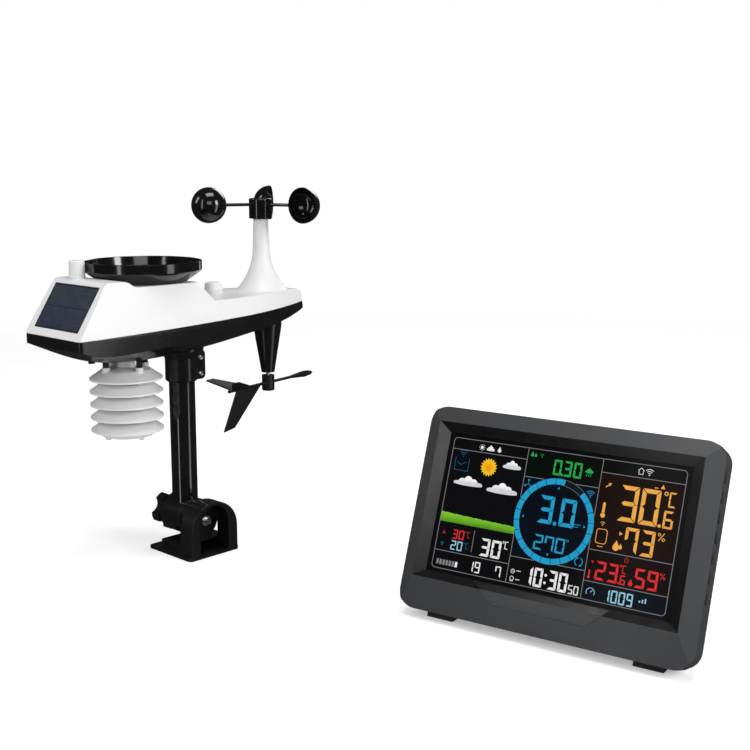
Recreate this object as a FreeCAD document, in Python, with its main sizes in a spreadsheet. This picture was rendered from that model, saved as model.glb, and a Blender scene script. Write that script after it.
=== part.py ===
"""Home weather station: an outdoor sensor on a tilting mast, and its display console.

Frame: +Z up, millimetres.  The origin is on the mast's axis, at the underside of the mast's bracket.
The sensor's nose, which carries the solar panel, points along -Y.  The console faces -Y too.
"""
import FreeCAD, Part
import math
import os
import re
import Sketcher

App = FreeCAD
doc = App.newDocument("home_weather_station")
sheet = doc.addObject("Spreadsheet::Sheet", "Sizes")

# ---------------------------------------------------------------- driving dimensions

BRACKET = {
    "base_back": 22, "base_front": 48, "base_half": 32, "base_thick": 3.2, "base_corner": 4,
    "base_hole_radius": 2.25, "base_hole_back": 16, "base_hole_back_half": 26, "base_hole_front": 37,
    "base_hole_front_half": 12.5,
    "pad_back": 4, "pad_half": 28.5, "pad_top": 13, "pad_recess": 2.5,
    "arch_start": 29, "arch_half": 29.4, "arch_spring": 26.6, "tunnel_radius": 18.5,
    "pivot_height": 34, "barrel_radius": 19.2, "barrel_split": 16, "barrel_end": 18,
    "rim_height": 0.8, "rim_width": 1.6, "split_gap": 0.15, "web_half": 11,
    "bolt_radius": 3, "bolt_gap": 0.05, "nut_radius": 5.6, "nut_thick": 5.5, "bolt_tip": 39,
    "knob_near": 20.5, "knob_far": 32, "knob_radius": 20, "knob_hub_radius": 9.5,
    "knob_scallop": 9.2, "knob_scallop_reach": 23.4, "knob_cap_radius": 6.5,
}
MAST = {
    "mast_radius": 13.25, "mast_wall": 1.6, "mast_bottom": 41, "mast_top": 224, "mast_gap": 0.1,
    "collar_bottom": 176, "collar_radius": 16.6, "collar_flare_radius": 23, "collar_flare": 200,
    "collar_top": 222, "collar_chamfer": 1.5, "socket_radius": 19.5,
    "ear_start": 10, "ear_reach": 26.5, "ear_half": 5.5, "ear_slot": 1.1, "ear_bottom": 175.5,
    "ear_top": 206, "ear_corner": 5, "clamp_y": 20.6, "clamp_low": 181.2, "clamp_high": 198,
    "clamp_radius": 1.6, "clamp_head": 2.9, "clamp_head_thick": 1.9,
}
HULL = {
    "nose_y": -148, "nose_half": 47.2, "nose_round": 4, "waist_y": 60, "waist_half": 45.5,
    "side_bend": 905, "stern_y": 156.3, "stern_half": 13.6, "stern_bend": 369, "tip_bend": 15,
    "seam_nose": 236, "seam_slope": 0.0304, "wall": 2.4, "draft_top": 292, "draft_inset": 6.8,
    "hull_floor": 190, "keel_half": 62, "keel_lid": 262,
    "brow_y": -116.5, "brow_z": 285, "plateau_y": -113, "plateau_z": 287, "plateau_end": -97,
    "dip_start": -81, "dip_z": 281, "dip_bend": 12.17, "dip_end": -12, "deck_start": 8,
    "deck_z": 261, "tail_y": 170, "tail_run": 30, "tail_drop": 13,
    "seal_inset": 0.7, "seal_width": 1, "seal_height": 1,
    "shell_screw_nose": -118, "shell_screw_nose_half": 35, "shell_screw_mid": 14,
    "shell_screw_mid_half": 36, "shell_boss": 4.2, "shell_head_top": 222, "shell_head_thick": 2.4,
    "shell_head_radius": 3, "shell_screw_radius": 1.5, "shell_screw_tip": 248,
    "hatch_half": 26, "hatch_start": 30, "hatch_end": 92, "hatch_lid": 232,
    "reset_y": -106, "reset_radius": 3.2, "reset_gap": 0.2, "reset_low": 206.5, "reset_top": 213,
    "board_half": 26, "board_start": 25, "board_end": 92, "board_z": 247,
    "cell_start": 36, "cell_z": 236, "cell_radius": 7.1, "cell_length": 50,
}
SENSORS = {
    "panel_half": 37, "panel_y": -130.75, "panel_length": 47, "panel_thick": 1.4, "panel_sunk": 0.2,
    "panel_gap": 0.25, "post_x": -18.5, "post_y": -106, "post_radius": 7.8, "post_top": 304,
    "dome_y": 44, "dome_base": 8.6, "dome_waist": 9.6, "dome_waist_z": 266, "dome_shoulder": 8.7,
    "dome_shoulder_z": 272, "dome_top": 274,
}
RAIN = {
    "funnel_y": -43, "rim_radius": 57.4, "rim_top": 301, "rim_band": 8.5, "skirt_radius": 43,
    "skirt_z": 281.3, "neck_radius": 40, "neck_z": 275, "funnel_wall": 2, "spout_radius": 5,
    "spout_z": 263, "spout_end": 254, "spout_bore": 3, "funnel_gap": 0.4,
    "screen_radius": 13, "screen_z": 272, "screen_foot": 268.6,
    "chamber_half": 17, "chamber_length": 46, "chamber_floor": 213, "chamber_top": 250,
    "chamber_wall": 1.6, "axle_z": 228, "axle_radius": 1.2, "axle_gap": 0.05,
    "bucket_half": 9, "bucket_reach": 17, "bucket_wall": 1.2, "bucket_rise": 19.5, "bucket_tip": 18,
    "magnet_radius": 2.5, "magnet_thick": 2,
}
WIND = {
    "tower_y": 110, "tower_foot_radius": 28, "tower_foot_z": 260.5, "tower_bend": 66.5,
    "tower_neck_radius": 8.85, "tower_neck_z": 307, "tower_top_radius": 7.9, "tower_top": 336.3,
    "bearing_radius": 4.5, "bearing_height": 4, "shaft_radius": 2, "shaft_gap": 0.05,
    "tower_cavity": 22, "tower_bore_z": 297, "hub_radius": 12.25, "hub_bottom": 336.8,
    "hub_top": 358, "hub_crown": 1.5, "arm_z": 351.5, "arm_radius": 1.7, "cup_reach": 57,
    "cup_radius": 18.7, "cup_wall": 1.4, "first_arm": 8, "rotor_shaft_bottom": 262,
    "rotor_shaft_top": 350, "rotor_magnet_thick": 4, "sensor_magnet_radius": 5,
    "vane_y": 117, "housing_top_radius": 15.4, "housing_shoulder": 221, "housing_tip_radius": 7.2,
    "housing_tip": 170, "vane_hub_radius": 6.9, "vane_hub_bottom": 149.6, "vane_hub_top": 166.6,
    "vane_rod_z": 158, "vane_rod_radius": 1.7, "vane_tail": 66, "vane_head": 62, "vane_turn": 10,
    "vane_shaft_bottom": 154, "vane_shaft_top": 236, "fin_thick": 1.6, "vane_fin_low": 116,
}
SHIELD = {
    "shield_y": -67.5, "plate_radius": 35.5, "plate_pitch": 12.7, "roof_rim": 186.9, "plate_edge": 1.7,
    "plate_rise": 9.7, "plate_ring": 24, "plate_bore": 14, "plate_wall": 1.6, "neck_outer": 9.5,
    "neck_inner": 7.6, "standoff_reach": 22.8, "standoff_radius": 3, "stud_radius": 1.5,
    "boss_radius": 3.8, "boss_top": 200.5, "shield_floor": 131, "foot_radius": 2.6,
}
CONSOLE = {
    "console_x": 421, "console_y": 43, "console_lean": 20, "console_turn": 10, "foot_low": 5.9,
    "console_half": 135, "console_high": 182, "frame_corner": 17, "frame_front": 16.5,
    "frame_edge": 8.5, "frame_back": 2, "frame_wall": 2.6, "cavity_front": 6.4,
    "ridge_side": 14, "ridge_top": 14.3, "ridge_low": 29,
    "glass_half": 111, "glass_low": 35.8, "glass_high": 158.8, "glass_front": 10.6,
    "lcd_margin": 3, "lcd_front": 9.8, "lcd_back": 7.6, "light_back": 4.6, "lcd_gap": 0.2,
    "console_board_half": 112, "console_board_front": 3.4, "console_board_low": 22,
    "console_board_high": 166, "scoop_top_half": 61, "scoop_low_half": 44, "scoop_top": 33.5,
    "scoop_low": 18, "scoop_floor": 11.4, "scoop_flare": 4,
    "button_first": 155, "button_pitch": 16, "button_long": 4.65, "button_wide": 2,
    "button_proud": 1, "button_gap": 0.2, "button_flange": 1.2, "button_depth": 3.5,
    "cover_depth": 14, "cover_inset": 1.2, "cover_wall": 2.4, "recess_half": 47, "recess_depth": 6,
    "recess_low": 4, "recess_high": 80, "stand_half": 45, "stand_thick": 4.4, "stand_reach": 66,
    "stand_hinge_y": 11, "stand_hinge_z": 9.5, "stand_knuckle": 2.9, "stand_open": 77.38,
    "stand_corner": 5, "pin_radius": 1.25, "pin_gap": 0.05, "pin_half": 52,
    "door_half": 34, "door_low": 96, "door_high": 150, "door_gap": 0.3, "door_thick": 1.8,
    "aaa_radius": 5.2, "aaa_length": 43.5, "aaa_pitch": 12, "aaa_low": 111, "aaa_depth": 6.4,
    "jack_x": 88, "jack_z": 46, "jack_radius": 4, "case_screw_side": 124, "case_screw_low": 12,
    "case_screw_high": 170, "case_boss": 4.6, "case_head": 2.8, "case_shank": 1.3,
}
SIZES = {**BRACKET, **MAST, **HULL, **SENSORS, **RAIN, **WIND, **SHIELD, **CONSOLE}

for row, (word, number) in enumerate(SIZES.items(), 1):
    sheet.set("A%d" % row, word)
    sheet.set("B%d" % row, str(number))
    sheet.setAlias("B%d" % row, word)
doc.recompute()

# ---------------------------------------------------------------- shared building steps

WORDS = re.compile(r"[a-z][a-z_0-9]*")
ALONG = {
    "X": App.Rotation(App.Vector(0, 1, 0), 90),
    "Y": App.Rotation(App.Vector(1, 0, 0), -90),
    "Z": App.Rotation(),
}
PLANE_ROLES = {"XY": "XY_Plane", "XZ": "XZ_Plane", "YZ": "YZ_Plane"}
PLANE_TURNS = {
    "XY": App.Rotation(),
    "XZ": App.Rotation(App.Vector(1, 0, 0), 90),
    "YZ": App.Rotation(App.Vector(1, 1, 1), 120),
}
pieces = {}


def on_sheet(size):
    """A size written in the sheet's words, as an expression that a property can be bound to."""
    return WORDS.sub(lambda found: "Sizes." + found.group() if found.group() in SIZES else found.group(),
                     str(size))


def value(size):
    """The number that a size has now."""
    return float(sheet.evalExpression(on_sheet(size)))


def bind(thing, **properties):
    for name, size in properties.items():
        thing.setExpression(name, on_sheet(size))
    return thing


def place(thing, at=(0, 0, 0), turn=None):
    """Puts a thing at a bound position, after turning it."""
    thing.Placement = App.Placement(App.Vector(), turn or App.Rotation())
    for axis, size in zip("xyz", at):
        thing.setExpression("Placement.Base." + axis, on_sheet(size))
    return thing


def add(kind, name):
    return doc.addObject(kind, name)


def cylinder(name, radius, length, at=(0, 0, 0), along="Z"):
    thing = bind(add("Part::Cylinder", name), Radius=radius, Height=length)
    return place(thing, at, along if isinstance(along, App.Rotation) else ALONG[along])


def cone(name, radius, far_radius, length, at=(0, 0, 0), along="Z"):
    thing = bind(add("Part::Cone", name), Radius1=radius, Radius2=far_radius, Height=length)
    return place(thing, at, ALONG[along])


def block(name, x, y, z):
    """A box between pairs of sizes."""
    thing = add("Part::Box", name)
    bind(thing, Length="%s - (%s)" % (x[1], x[0]), Width="%s - (%s)" % (y[1], y[0]),
         Height="%s - (%s)" % (z[1], z[0]))
    return place(thing, (x[0], y[0], z[0]))


def cut(name, base, *tools):
    thing = add("Part::Cut", name)
    thing.Base = base
    thing.Tool = tools[0] if len(tools) == 1 else fuse(name + "_tools", *tools)
    return thing


def fuse(name, *shapes):
    thing = add("Part::MultiFuse", name)
    thing.Shapes = list(shapes)
    return thing


def common(name, *shapes):
    thing = add("Part::MultiCommon", name)
    thing.Shapes = list(shapes)
    return thing


def group(name, *shapes):
    """Separate solids that share one node."""
    thing = add("Part::Compound", name)
    thing.Links = list(shapes)
    return thing


def draw(sketch, corners):
    """Draws a closed outline.  A corner is (across, up), or (across, up, bend) where an arc of that
    radius leads to the next corner, with its centre on the left of the path, or on the right of it
    if the bend starts with a minus sign.  Every corner and every bend is bound to the sheet."""
    ends = []
    for index, corner in enumerate(corners):
        following = corners[(index + 1) % len(corners)]
        start = App.Vector(value(corner[0]), value(corner[1]), 0)
        end = App.Vector(value(following[0]), value(following[1]), 0)
        if len(corner) == 2:
            sketch.addGeometry(Part.LineSegment(start, end))
            ends.append((1, 2))
            continue
        right_handed = str(corner[2]).startswith("-")
        first, last = (end, start) if right_handed else (start, end)
        radius = abs(value(corner[2]))
        chord = last - first
        reach = math.sqrt(max(radius ** 2 - chord.Length ** 2 / 4, 0))
        side = App.Vector(-chord.y, chord.x, 0).normalize()
        centre = (first + last) * 0.5 + side * reach
        angles = [math.atan2(point.y - centre.y, point.x - centre.x) for point in (first, last)]
        circle = Part.Circle(centre, App.Vector(0, 0, 1), radius)
        sketch.addGeometry(Part.ArcOfCircle(circle, angles[0], angles[1]))
        ends.append((2, 1) if right_handed else (1, 2))
    for index, corner in enumerate(corners):
        following = (index + 1) % len(corners)
        sketch.addConstraint(Sketcher.Constraint("Coincident", index, ends[index][1],
                                                 following, ends[following][0]))
    for index, corner in enumerate(corners):
        for kind, size in (("DistanceX", corner[0]), ("DistanceY", corner[1])):
            rule = sketch.addConstraint(Sketcher.Constraint(kind, index, ends[index][0], value(size)))
            sketch.setExpression("Constraints[%d]" % rule, on_sheet(size))
        if len(corner) == 3:
            rule = sketch.addConstraint(Sketcher.Constraint("Radius", index, abs(value(corner[2]))))
            sketch.setExpression("Constraints[%d]" % rule, on_sheet(str(corner[2]).lstrip("-")))
    return sketch


def outline(name, corners, plane, at=(0, 0, 0)):
    """A loose outline, for a loft."""
    return place(draw(add("Sketcher::SketchObject", name), corners), at, PLANE_TURNS[plane])


def body_sketch(name, corners, plane):
    body = add("PartDesign::Body", name)
    sketch = body.newObject("Sketcher::SketchObject", name + "_outline")
    role = PLANE_ROLES[plane]
    plane_feature = [item for item in body.Origin.OriginFeatures if item.Role == role][0]
    sketch.AttachmentSupport = [(plane_feature, "")]
    sketch.MapMode = "FlatFace"
    draw(sketch, corners)
    return body, sketch


def padded(name, corners, plane, thickness, at=(0, 0, 0), turn=None):
    """An outline given a thickness: along +Z from XY, along -Y from XZ and along +X from YZ."""
    body, sketch = body_sketch(name, corners, plane)
    pad = body.newObject("PartDesign::Pad", name + "_pad")
    pad.Profile = sketch
    bind(pad, Length=thickness)
    return place(body, at, turn)


def turned(name, corners, at=(0, 0, 0), along="Z"):
    """An outline of (radius, height) corners turned about its own axis."""
    body, sketch = body_sketch(name, corners, "XZ")
    turn = body.newObject("PartDesign::Revolution", name + "_turn")
    turn.Profile = sketch
    turn.ReferenceAxis = (sketch, ["V_Axis"])
    turn.Angle = 360
    return place(body, at, ALONG[along])


def loft(name, *sections, ruled=True):
    thing = add("Part::Loft", name)
    thing.Sections = list(sections)
    thing.Solid = True
    thing.Ruled = ruled
    return thing


def rounded(left, right, low, high, radius):
    """The corners of a rectangle with rounded corners, anticlockwise."""
    text = {"l": left, "r": right, "b": low, "t": high, "c": radius}
    inward = {key: "%s" % item for key, item in text.items()}
    return [
        ("%(l)s + %(c)s" % inward, low), ("%(r)s - %(c)s" % inward, low, radius),
        (right, "%(b)s + %(c)s" % inward), (right, "%(t)s - %(c)s" % inward, radius),
        ("%(r)s - %(c)s" % inward, high), ("%(l)s + %(c)s" % inward, high, radius),
        (left, "%(t)s - %(c)s" % inward), (left, "%(b)s + %(c)s" % inward, radius),
    ]


def hexagon(name, radius, length, at, along):
    thing = bind(add("Part::Prism", name), Circumradius=radius, Height=length)
    thing.Polygon = 6
    return place(thing, at, ALONG[along])


def keep(name, thing):
    """Names a finished sub-part, which is written to its own file."""
    thing.Label = name
    pieces[name] = thing
    return thing


def minus(size):
    return "-(%s)" % size


# ---------------------------------------------------------------- bracket, knob and mast

def tombstone(half, spring, low):
    """A flat-footed arch: upright sides up to the spring line and a half circle above it."""
    crown = "%s + %s" % (spring, half)
    return [(minus(half), low), (half, low), (half, spring, half), (0, crown, half),
            (minus(half), spring)]


def mounting_bracket():
    base = padded("base_plate", rounded("-base_back", "base_front", "-base_half", "base_half",
                                        "base_corner"), "XY", "base_thick")
    pad = block("raised_pad", ("-pad_back", "arch_start"), ("-pad_half", "pad_half"), (0, "pad_top"))
    web = block("barrel_web", ("barrel_split + 4", "arch_start"), ("-web_half", "web_half"),
                ("pad_top", "pivot_height"))
    arch = padded("arch_block", tombstone("arch_half", "arch_spring", 0), "YZ",
                  "base_front - arch_start", ("arch_start", 0, 0))
    barrel = cylinder("fixed_barrel", "barrel_radius", "arch_start - barrel_split - split_gap",
                      ("barrel_split + split_gap", 0, "pivot_height"), "X")
    tunnel = padded("tunnel", tombstone("tunnel_radius", "pivot_height", "base_thick"), "YZ",
                    "base_front", ("arch_start", 0, 0))
    hollow = block("pad_hollow", (0, "arch_start + 1"), ("-tunnel_radius", "tunnel_radius"),
                   ("base_thick", "pad_top - 2.4"))
    recesses = [
        block("pad_recess_%s" % name, (0, "arch_start - 5"), (low, high), (5, "pad_top - 2"))
        for name, low, high in (("near", "-pad_half", "-pad_half + pad_recess"),
                                ("far", "pad_half - pad_recess", "pad_half"))
    ]
    bolt_hole = cylinder("bracket_bolt_hole", "bolt_radius + bolt_gap", "arch_start",
                         ("barrel_split - 1", 0, "pivot_height"), "X")
    screw_holes = [
        cylinder("base_hole_%d" % index, "base_hole_radius", "base_thick + 2", (across, side, -1))
        for index, (across, side) in enumerate((
            ("-base_hole_back", "-base_hole_back_half"), ("-base_hole_back", "base_hole_back_half"),
            ("base_hole_front", "-base_hole_front_half"), ("base_hole_front", "base_hole_front_half")))
    ]
    solid = fuse("bracket_solid", base, pad, web, arch, barrel)
    return keep("mounting_bracket", cut("bracket", solid, tunnel, hollow, bolt_hole, *recesses,
                                        *screw_holes))


def pivot_bolt():
    shank = cylinder("bolt_shank", "bolt_radius", "bolt_tip + knob_far - 3",
                     ("3 - knob_far", 0, "pivot_height"), "X")
    nut = hexagon("bolt_nut", "nut_radius", "nut_thick", ("arch_start", 0, "pivot_height"), "X")
    tip = cone("bolt_tip_taper", "bolt_radius", "bolt_radius - 0.8", 1,
               ("bolt_tip", 0, "pivot_height"), "X")
    keep("pivot_bolt", fuse("bolt", shank, nut, tip))


def clamp_knob():
    disc = cylinder("knob_disc", "knob_radius", "knob_far - knob_near",
                    ("-knob_far", 0, "pivot_height"), "X")
    hub = cylinder("knob_hub", "knob_hub_radius", "knob_near - barrel_end - split_gap",
                   ("-knob_near", 0, "pivot_height"), "X")
    cap = cone("knob_cap", "knob_cap_radius", "knob_cap_radius + 1.5", 1.5,
               ("-knob_far - 1.5", 0, "pivot_height"), "X")
    scallops = []
    for index in range(5):
        angle = 86 + 72 * index
        scallops.append(cylinder(
            "knob_scallop_%d" % index, "knob_scallop", "knob_far",
            ("-knob_far - 1", "knob_scallop_reach * cos(%d)" % angle,
             "pivot_height + knob_scallop_reach * sin(%d)" % angle), "X"))
    bore = cylinder("knob_bore", "bolt_radius + bolt_gap", "knob_far - 3 - barrel_end + 1",
                    ("2.5 - knob_far", 0, "pivot_height"), "X")
    keep("clamp_knob", cut("knob", fuse("knob_solid", disc, hub, cap), bore, *scallops))


def mast_foot():
    barrel = cylinder("foot_barrel", "barrel_radius", "barrel_split + barrel_end",
                      ("-barrel_end", 0, "pivot_height"), "X")
    rim = cylinder("foot_rim", "barrel_radius + rim_height", "rim_width",
                   ("barrel_split - rim_width", 0, "pivot_height"), "X")
    socket = cylinder("foot_socket", "mast_radius", "mast_bottom", (0, 0, "mast_bottom"))
    bore = cylinder("foot_bore", "bolt_radius + bolt_gap", "barrel_split + barrel_end + 2",
                    ("-barrel_end - 1", 0, "pivot_height"), "X")
    keep("mast_foot", cut("foot", fuse("foot_solid", barrel, rim), socket, bore))


def mast_tube():
    length = "mast_top - mast_bottom"
    outside = cylinder("mast_outside", "mast_radius", length, (0, 0, "mast_bottom"))
    inside = cylinder("mast_inside", "mast_radius - mast_wall", length + " + 2",
                      (0, 0, "mast_bottom - 1"))
    keep("mast_tube", cut("mast", outside, inside))


def mast_collar(keel):
    """The clamp that grips the mast, flared where it meets the hull's underside."""
    flare = turned("collar_flare_turn", [
        (0, "collar_bottom"), ("collar_radius - collar_chamfer", "collar_bottom"),
        ("collar_radius", "collar_bottom + collar_chamfer"), ("collar_radius", "collar_flare"),
        ("collar_flare_radius", "collar_flare + 8"), ("collar_flare_radius", "collar_top"),
        (0, "collar_top")])
    ears = padded("collar_ears", [
        ("ear_start", "ear_bottom"), ("ear_reach - ear_corner", "ear_bottom", "ear_corner"),
        ("ear_reach", "ear_bottom + ear_corner"), ("ear_reach", "ear_top - ear_corner", "ear_corner"),
        ("ear_reach - ear_corner", "ear_top"), ("ear_start", "ear_top")],
        "YZ", "2 * ear_half", ("-ear_half", 0, 0))
    outside = cut("collar_outside", fuse("collar_flared", flare, ears), keel)
    sleeve = cylinder("collar_sleeve", "collar_radius", "collar_top - collar_flare",
                      (0, 0, "collar_flare"))
    bore = cylinder("collar_bore", "mast_radius + mast_gap", "collar_top", (0, 0, "collar_bottom - 1"))
    slot = block("collar_slot", ("-ear_slot", "ear_slot"), (5, "ear_reach + 1"),
                 ("ear_bottom - 1", "ear_top - 2"))
    screw_holes = [
        cylinder("ear_hole_%d" % index, "clamp_radius", "2 * ear_half + 2",
                 ("-ear_half - 1", "clamp_y", height), "X")
        for index, height in enumerate(("clamp_low", "clamp_high"))
    ]
    keep("mast_collar", cut("collar", fuse("collar_solid", outside, sleeve), bore, slot, *screw_holes))


def collar_screws():
    screws = []
    for index, height in enumerate(("clamp_low", "clamp_high")):
        name = "clamp_screw_%d" % index
        shank = cylinder(name + "_shank", "clamp_radius", "2 * ear_half",
                         ("-ear_half", "clamp_y", height), "X")
        head = cylinder(name + "_head", "clamp_head", "clamp_head_thick - 0.7",
                        ("ear_half", "clamp_y", height), "X")
        dome = cone(name + "_dome", "clamp_head", "clamp_head - 0.9", 0.7,
                    ("ear_half + clamp_head_thick - 0.7", "clamp_y", height), "X")
        nut = hexagon(name + "_nut", "clamp_head + 0.3", 2.4, ("-ear_half - 2.4", "clamp_y", height), "X")
        socket = hexagon(name + "_socket", 1.4, 1.2,
                         ("ear_half + clamp_head_thick - 1.1", "clamp_y", height), "X")
        screws.append(cut(name, fuse(name + "_solid", shank, head, dome, nut), socket))
    keep("collar_screws", group("clamp_screws", *screws))


# ---------------------------------------------------------------- hull: lower and upper shells

def seam(place_along):
    """The height of the joint between the shells, which rises towards the tail."""
    return "seam_nose + seam_slope * (%s - nose_y)" % place_along


def hull_plan(name, inset, height):
    """The hull's outline from above, drawn in by an inset."""
    half = [
        ("nose_half - nose_round - %s" % inset, "nose_y + %s" % inset, "nose_round"),
        ("nose_half - %s" % inset, "nose_y + nose_round + %s" % inset, "side_bend"),
        ("waist_half - %s" % inset, "waist_y", "stern_bend"),
        ("stern_half - 0.9 * %s" % inset, "stern_y - 0.42 * %s" % inset,
         "tip_bend - 0.98 * %s" % inset),
    ]
    mirrored = [(minus(x), y) for x, y, bend in reversed(half)]
    bends = [half[2][2], half[1][2], half[0][2]]
    mirrored = [(x, y, bend) for (x, y), bend in zip(mirrored, bends)] + [mirrored[-1]]
    return outline(name, half + mirrored, "XY", (0, 0, height))


def hull_form(name, inset):
    """The outside of the whole hull, or its inside where the inset is the wall."""
    return loft(name, hull_plan(name + "_low", inset, "hull_floor"),
                hull_plan(name + "_middle", inset, "seam_nose"),
                hull_plan(name + "_high", "(%s + draft_inset)" % inset, "draft_top"))


KEEL = (  # place along the hull, depth at the middle, and rise from there to the keel's sides
    (-152, 228.5, 0.8), (-122, 212.5, 12), (-80, 205, 24), (-20, 206, 24), (50, 215, 17),
    (110, 227, 10), (172, 240.5, 3),
)


def keel(name, lift):
    """The hull's round belly, up to a flat lid."""
    sections = []
    for index, (along, depth, rise) in enumerate(KEEL):
        low = "%s + %s" % (depth, lift)
        side = "%s + %s" % (low, rise)
        bend = "(keel_half * keel_half + %s * %s) / (2 * %s)" % (rise, rise, rise)
        corners = [(minus("keel_half"), side, bend), ("keel_half", side), ("keel_half", "keel_lid"),
                   (minus("keel_half"), "keel_lid")]
        sections.append(outline("%s_section_%d" % (name, index), corners, "XZ", (0, along, 0)))
    return loft(name, *sections, ruled=False)


def beside_seam(name, above):
    """Everything above or below the joint between the shells."""
    level = "hull_floor + 110" if above else "hull_floor - 20"
    corners = [("nose_y - 8", level), ("tail_y + 8", level), ("tail_y + 8", seam("(tail_y + 8)")),
               ("nose_y - 8", seam("(nose_y - 8)"))]
    if above:
        corners.reverse()
    return padded(name, corners, "YZ", "2 * keel_half", ("-keel_half", 0, 0))


def roof_profile(name, wall):
    """The upper shell from the side: sloping nose, brow, dip for the funnel, and tail deck."""
    slope = "(%s) * 1.19" % wall
    top = "- (%s)" % wall
    toe = "4 * (brow_y - nose_y) / (brow_z - seam_nose)"
    tail_bend = "(tail_run * tail_run + tail_drop * tail_drop) / (2 * tail_drop)"
    corners = [
        ("nose_y - %s + %s" % (toe, slope), "seam_nose - 4"), ("tail_y - 3", "seam_nose - 4"),
        ("tail_y - 3", "deck_z - tail_drop %s" % top, tail_bend),
        ("tail_y - 3 - tail_run", "deck_z %s" % top),
        ("deck_start", "deck_z %s" % top), ("dip_end", "dip_z %s" % top),
        ("dip_start", "dip_z %s" % top, "-dip_bend"),
        ("(dip_start + plateau_end) / 2", "(dip_z + plateau_z) / 2 %s" % top, "dip_bend"),
        ("plateau_end", "plateau_z %s" % top),
        ("plateau_y + %s * 0.5" % slope, "plateau_z %s" % top),
        ("brow_y + %s" % slope, "brow_z"),
    ]
    return padded(name, corners, "YZ", "2 * keel_half", ("-keel_half", 0, 0))


def tower():
    """The stalk that carries the cups, with its cavity and bearing seats."""
    outside = turned("tower_outside", [
        (0, "deck_z - 8"), ("tower_foot_radius", "deck_z - 8"),
        ("tower_foot_radius", "tower_foot_z", "-tower_bend"), ("tower_neck_radius", "tower_neck_z"),
        ("tower_top_radius", "tower_top"), (0, "tower_top")], (0, "tower_y", 0))
    inside = turned("tower_inside", [
        (0, "deck_z - 12"), ("tower_cavity", "deck_z - 12"), ("tower_cavity", "deck_z - wall"),
        ("bearing_radius", "tower_bore_z"), ("bearing_radius", "tower_top - 2"),
        ("shaft_radius + 0.8", "tower_top - 2"), ("shaft_radius + 0.8", "tower_top + 1"),
        (0, "tower_top + 1")], (0, "tower_y", 0))
    return outside, inside


def shell_screw_places():
    return [(sign + x, y) for x, y in (("shell_screw_nose_half", "shell_screw_nose"),
                                       ("shell_screw_mid_half", "shell_screw_mid"))
            for sign in ("-", "")]


def slanted_slab(name, half, length, low, high):
    """A slab parallel to the nose's slope, between two distances from its surface."""
    thing = add("Part::Box", name)
    bind(thing, Length="2 * (%s)" % half, Width=length, Height="%s - (%s)" % (high, low))
    slope = "atan((brow_z - seam_nose) / (brow_y - nose_y))"
    along = "(%s) / 2" % length
    middle = "(seam_nose + (panel_y - nose_y) * tan(%s))" % slope
    thing.Placement = App.Placement(App.Vector(), App.Rotation(App.Vector(1, 0, 0), 57))
    thing.setExpression("Placement.Rotation.Angle", on_sheet(slope))
    place_x = minus(half)
    place_y = "panel_y - %s * cos(%s) - (%s) * sin(%s)" % (along, slope, low, slope)
    place_z = "%s - %s * sin(%s) + (%s) * cos(%s)" % (middle, along, slope, low, slope)
    for axis, size in zip("xyz", (place_x, place_y, place_z)):
        thing.setExpression("Placement.Base." + axis, on_sheet(size))
    return thing


def lower_shell(form, core, belly, inner_belly):
    below = beside_seam("below_seam", False)
    outside = common("lower_outside", form, belly, below)
    inside = common("lower_inside", core, inner_belly)
    bosses = [
        cylinder("lower_boss_%d" % index, "shell_boss", "60", (x, y, "hull_floor"))
        for index, (x, y) in enumerate(shell_screw_places())
    ]
    socket = cylinder("mast_socket", "socket_radius", "collar_top - hull_floor", (0, 0, "hull_floor"))
    trimmed = common("lower_posts", fuse("lower_post_solid", socket, *bosses), belly, below)
    shell = fuse("lower_hollow", cut("lower_wall", outside, inside), trimmed)
    seal = shell_seal(form, below)
    head_holes = [
        cylinder("screw_head_hole_%d" % index, "shell_head_radius + 0.3",
                 "shell_head_top - hull_floor", (x, y, "hull_floor"))
        for index, (x, y) in enumerate(shell_screw_places())
    ]
    shank_holes = [
        cylinder("lower_shank_hole_%d" % index, "shell_screw_radius", "60", (x, y, "hull_floor"))
        for index, (x, y) in enumerate(shell_screw_places())
    ]
    mast_hole = cylinder("mast_hole", "collar_radius", "60", (0, 0, "hull_floor"))
    cable_hole = cylinder("shield_cable_hole", "neck_inner", "40", (0, "shield_y", "hull_floor"))
    vane_hole = cylinder("vane_shaft_hole", "sensor_magnet_radius + 1", "60", (0, "vane_y", "hull_floor"))
    button_hole = cylinder("reset_hole", "reset_radius + reset_gap", "30", (0, "reset_y", "hull_floor"))
    drains = [
        block("drain_%d" % index, ("%d - 1.2" % across, "%d + 1.2" % across),
              ("funnel_y - 8", "funnel_y + 14"), ("hull_floor", "chamber_floor"))
        for index, across in enumerate((-10, 0, 10))
    ]
    stud_holes = [
        cylinder("hull_stud_hole_%d" % index, "stud_radius", "40", (x, y, "hull_floor"))
        for index, (x, y) in enumerate(standoff_places())
    ]
    opening = block("battery_opening", ("-hatch_half", "hatch_half"), ("hatch_start", "hatch_end"),
                    ("hull_floor", "hatch_lid"))
    panel = block("battery_panel", ("-hatch_half + door_gap", "hatch_half - door_gap"),
                  ("hatch_start + door_gap", "hatch_end - door_gap"), ("hull_floor", "hatch_lid"))
    keep("battery_door", common("hatch_cover", cut("hatch_wall", belly, inner_belly), panel))
    keep("lower_shell", cut("lower", shell, seal, mast_hole, cable_hole, vane_hole, button_hole,
                            opening, *head_holes, *shank_holes, *drains, *stud_holes))


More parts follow.
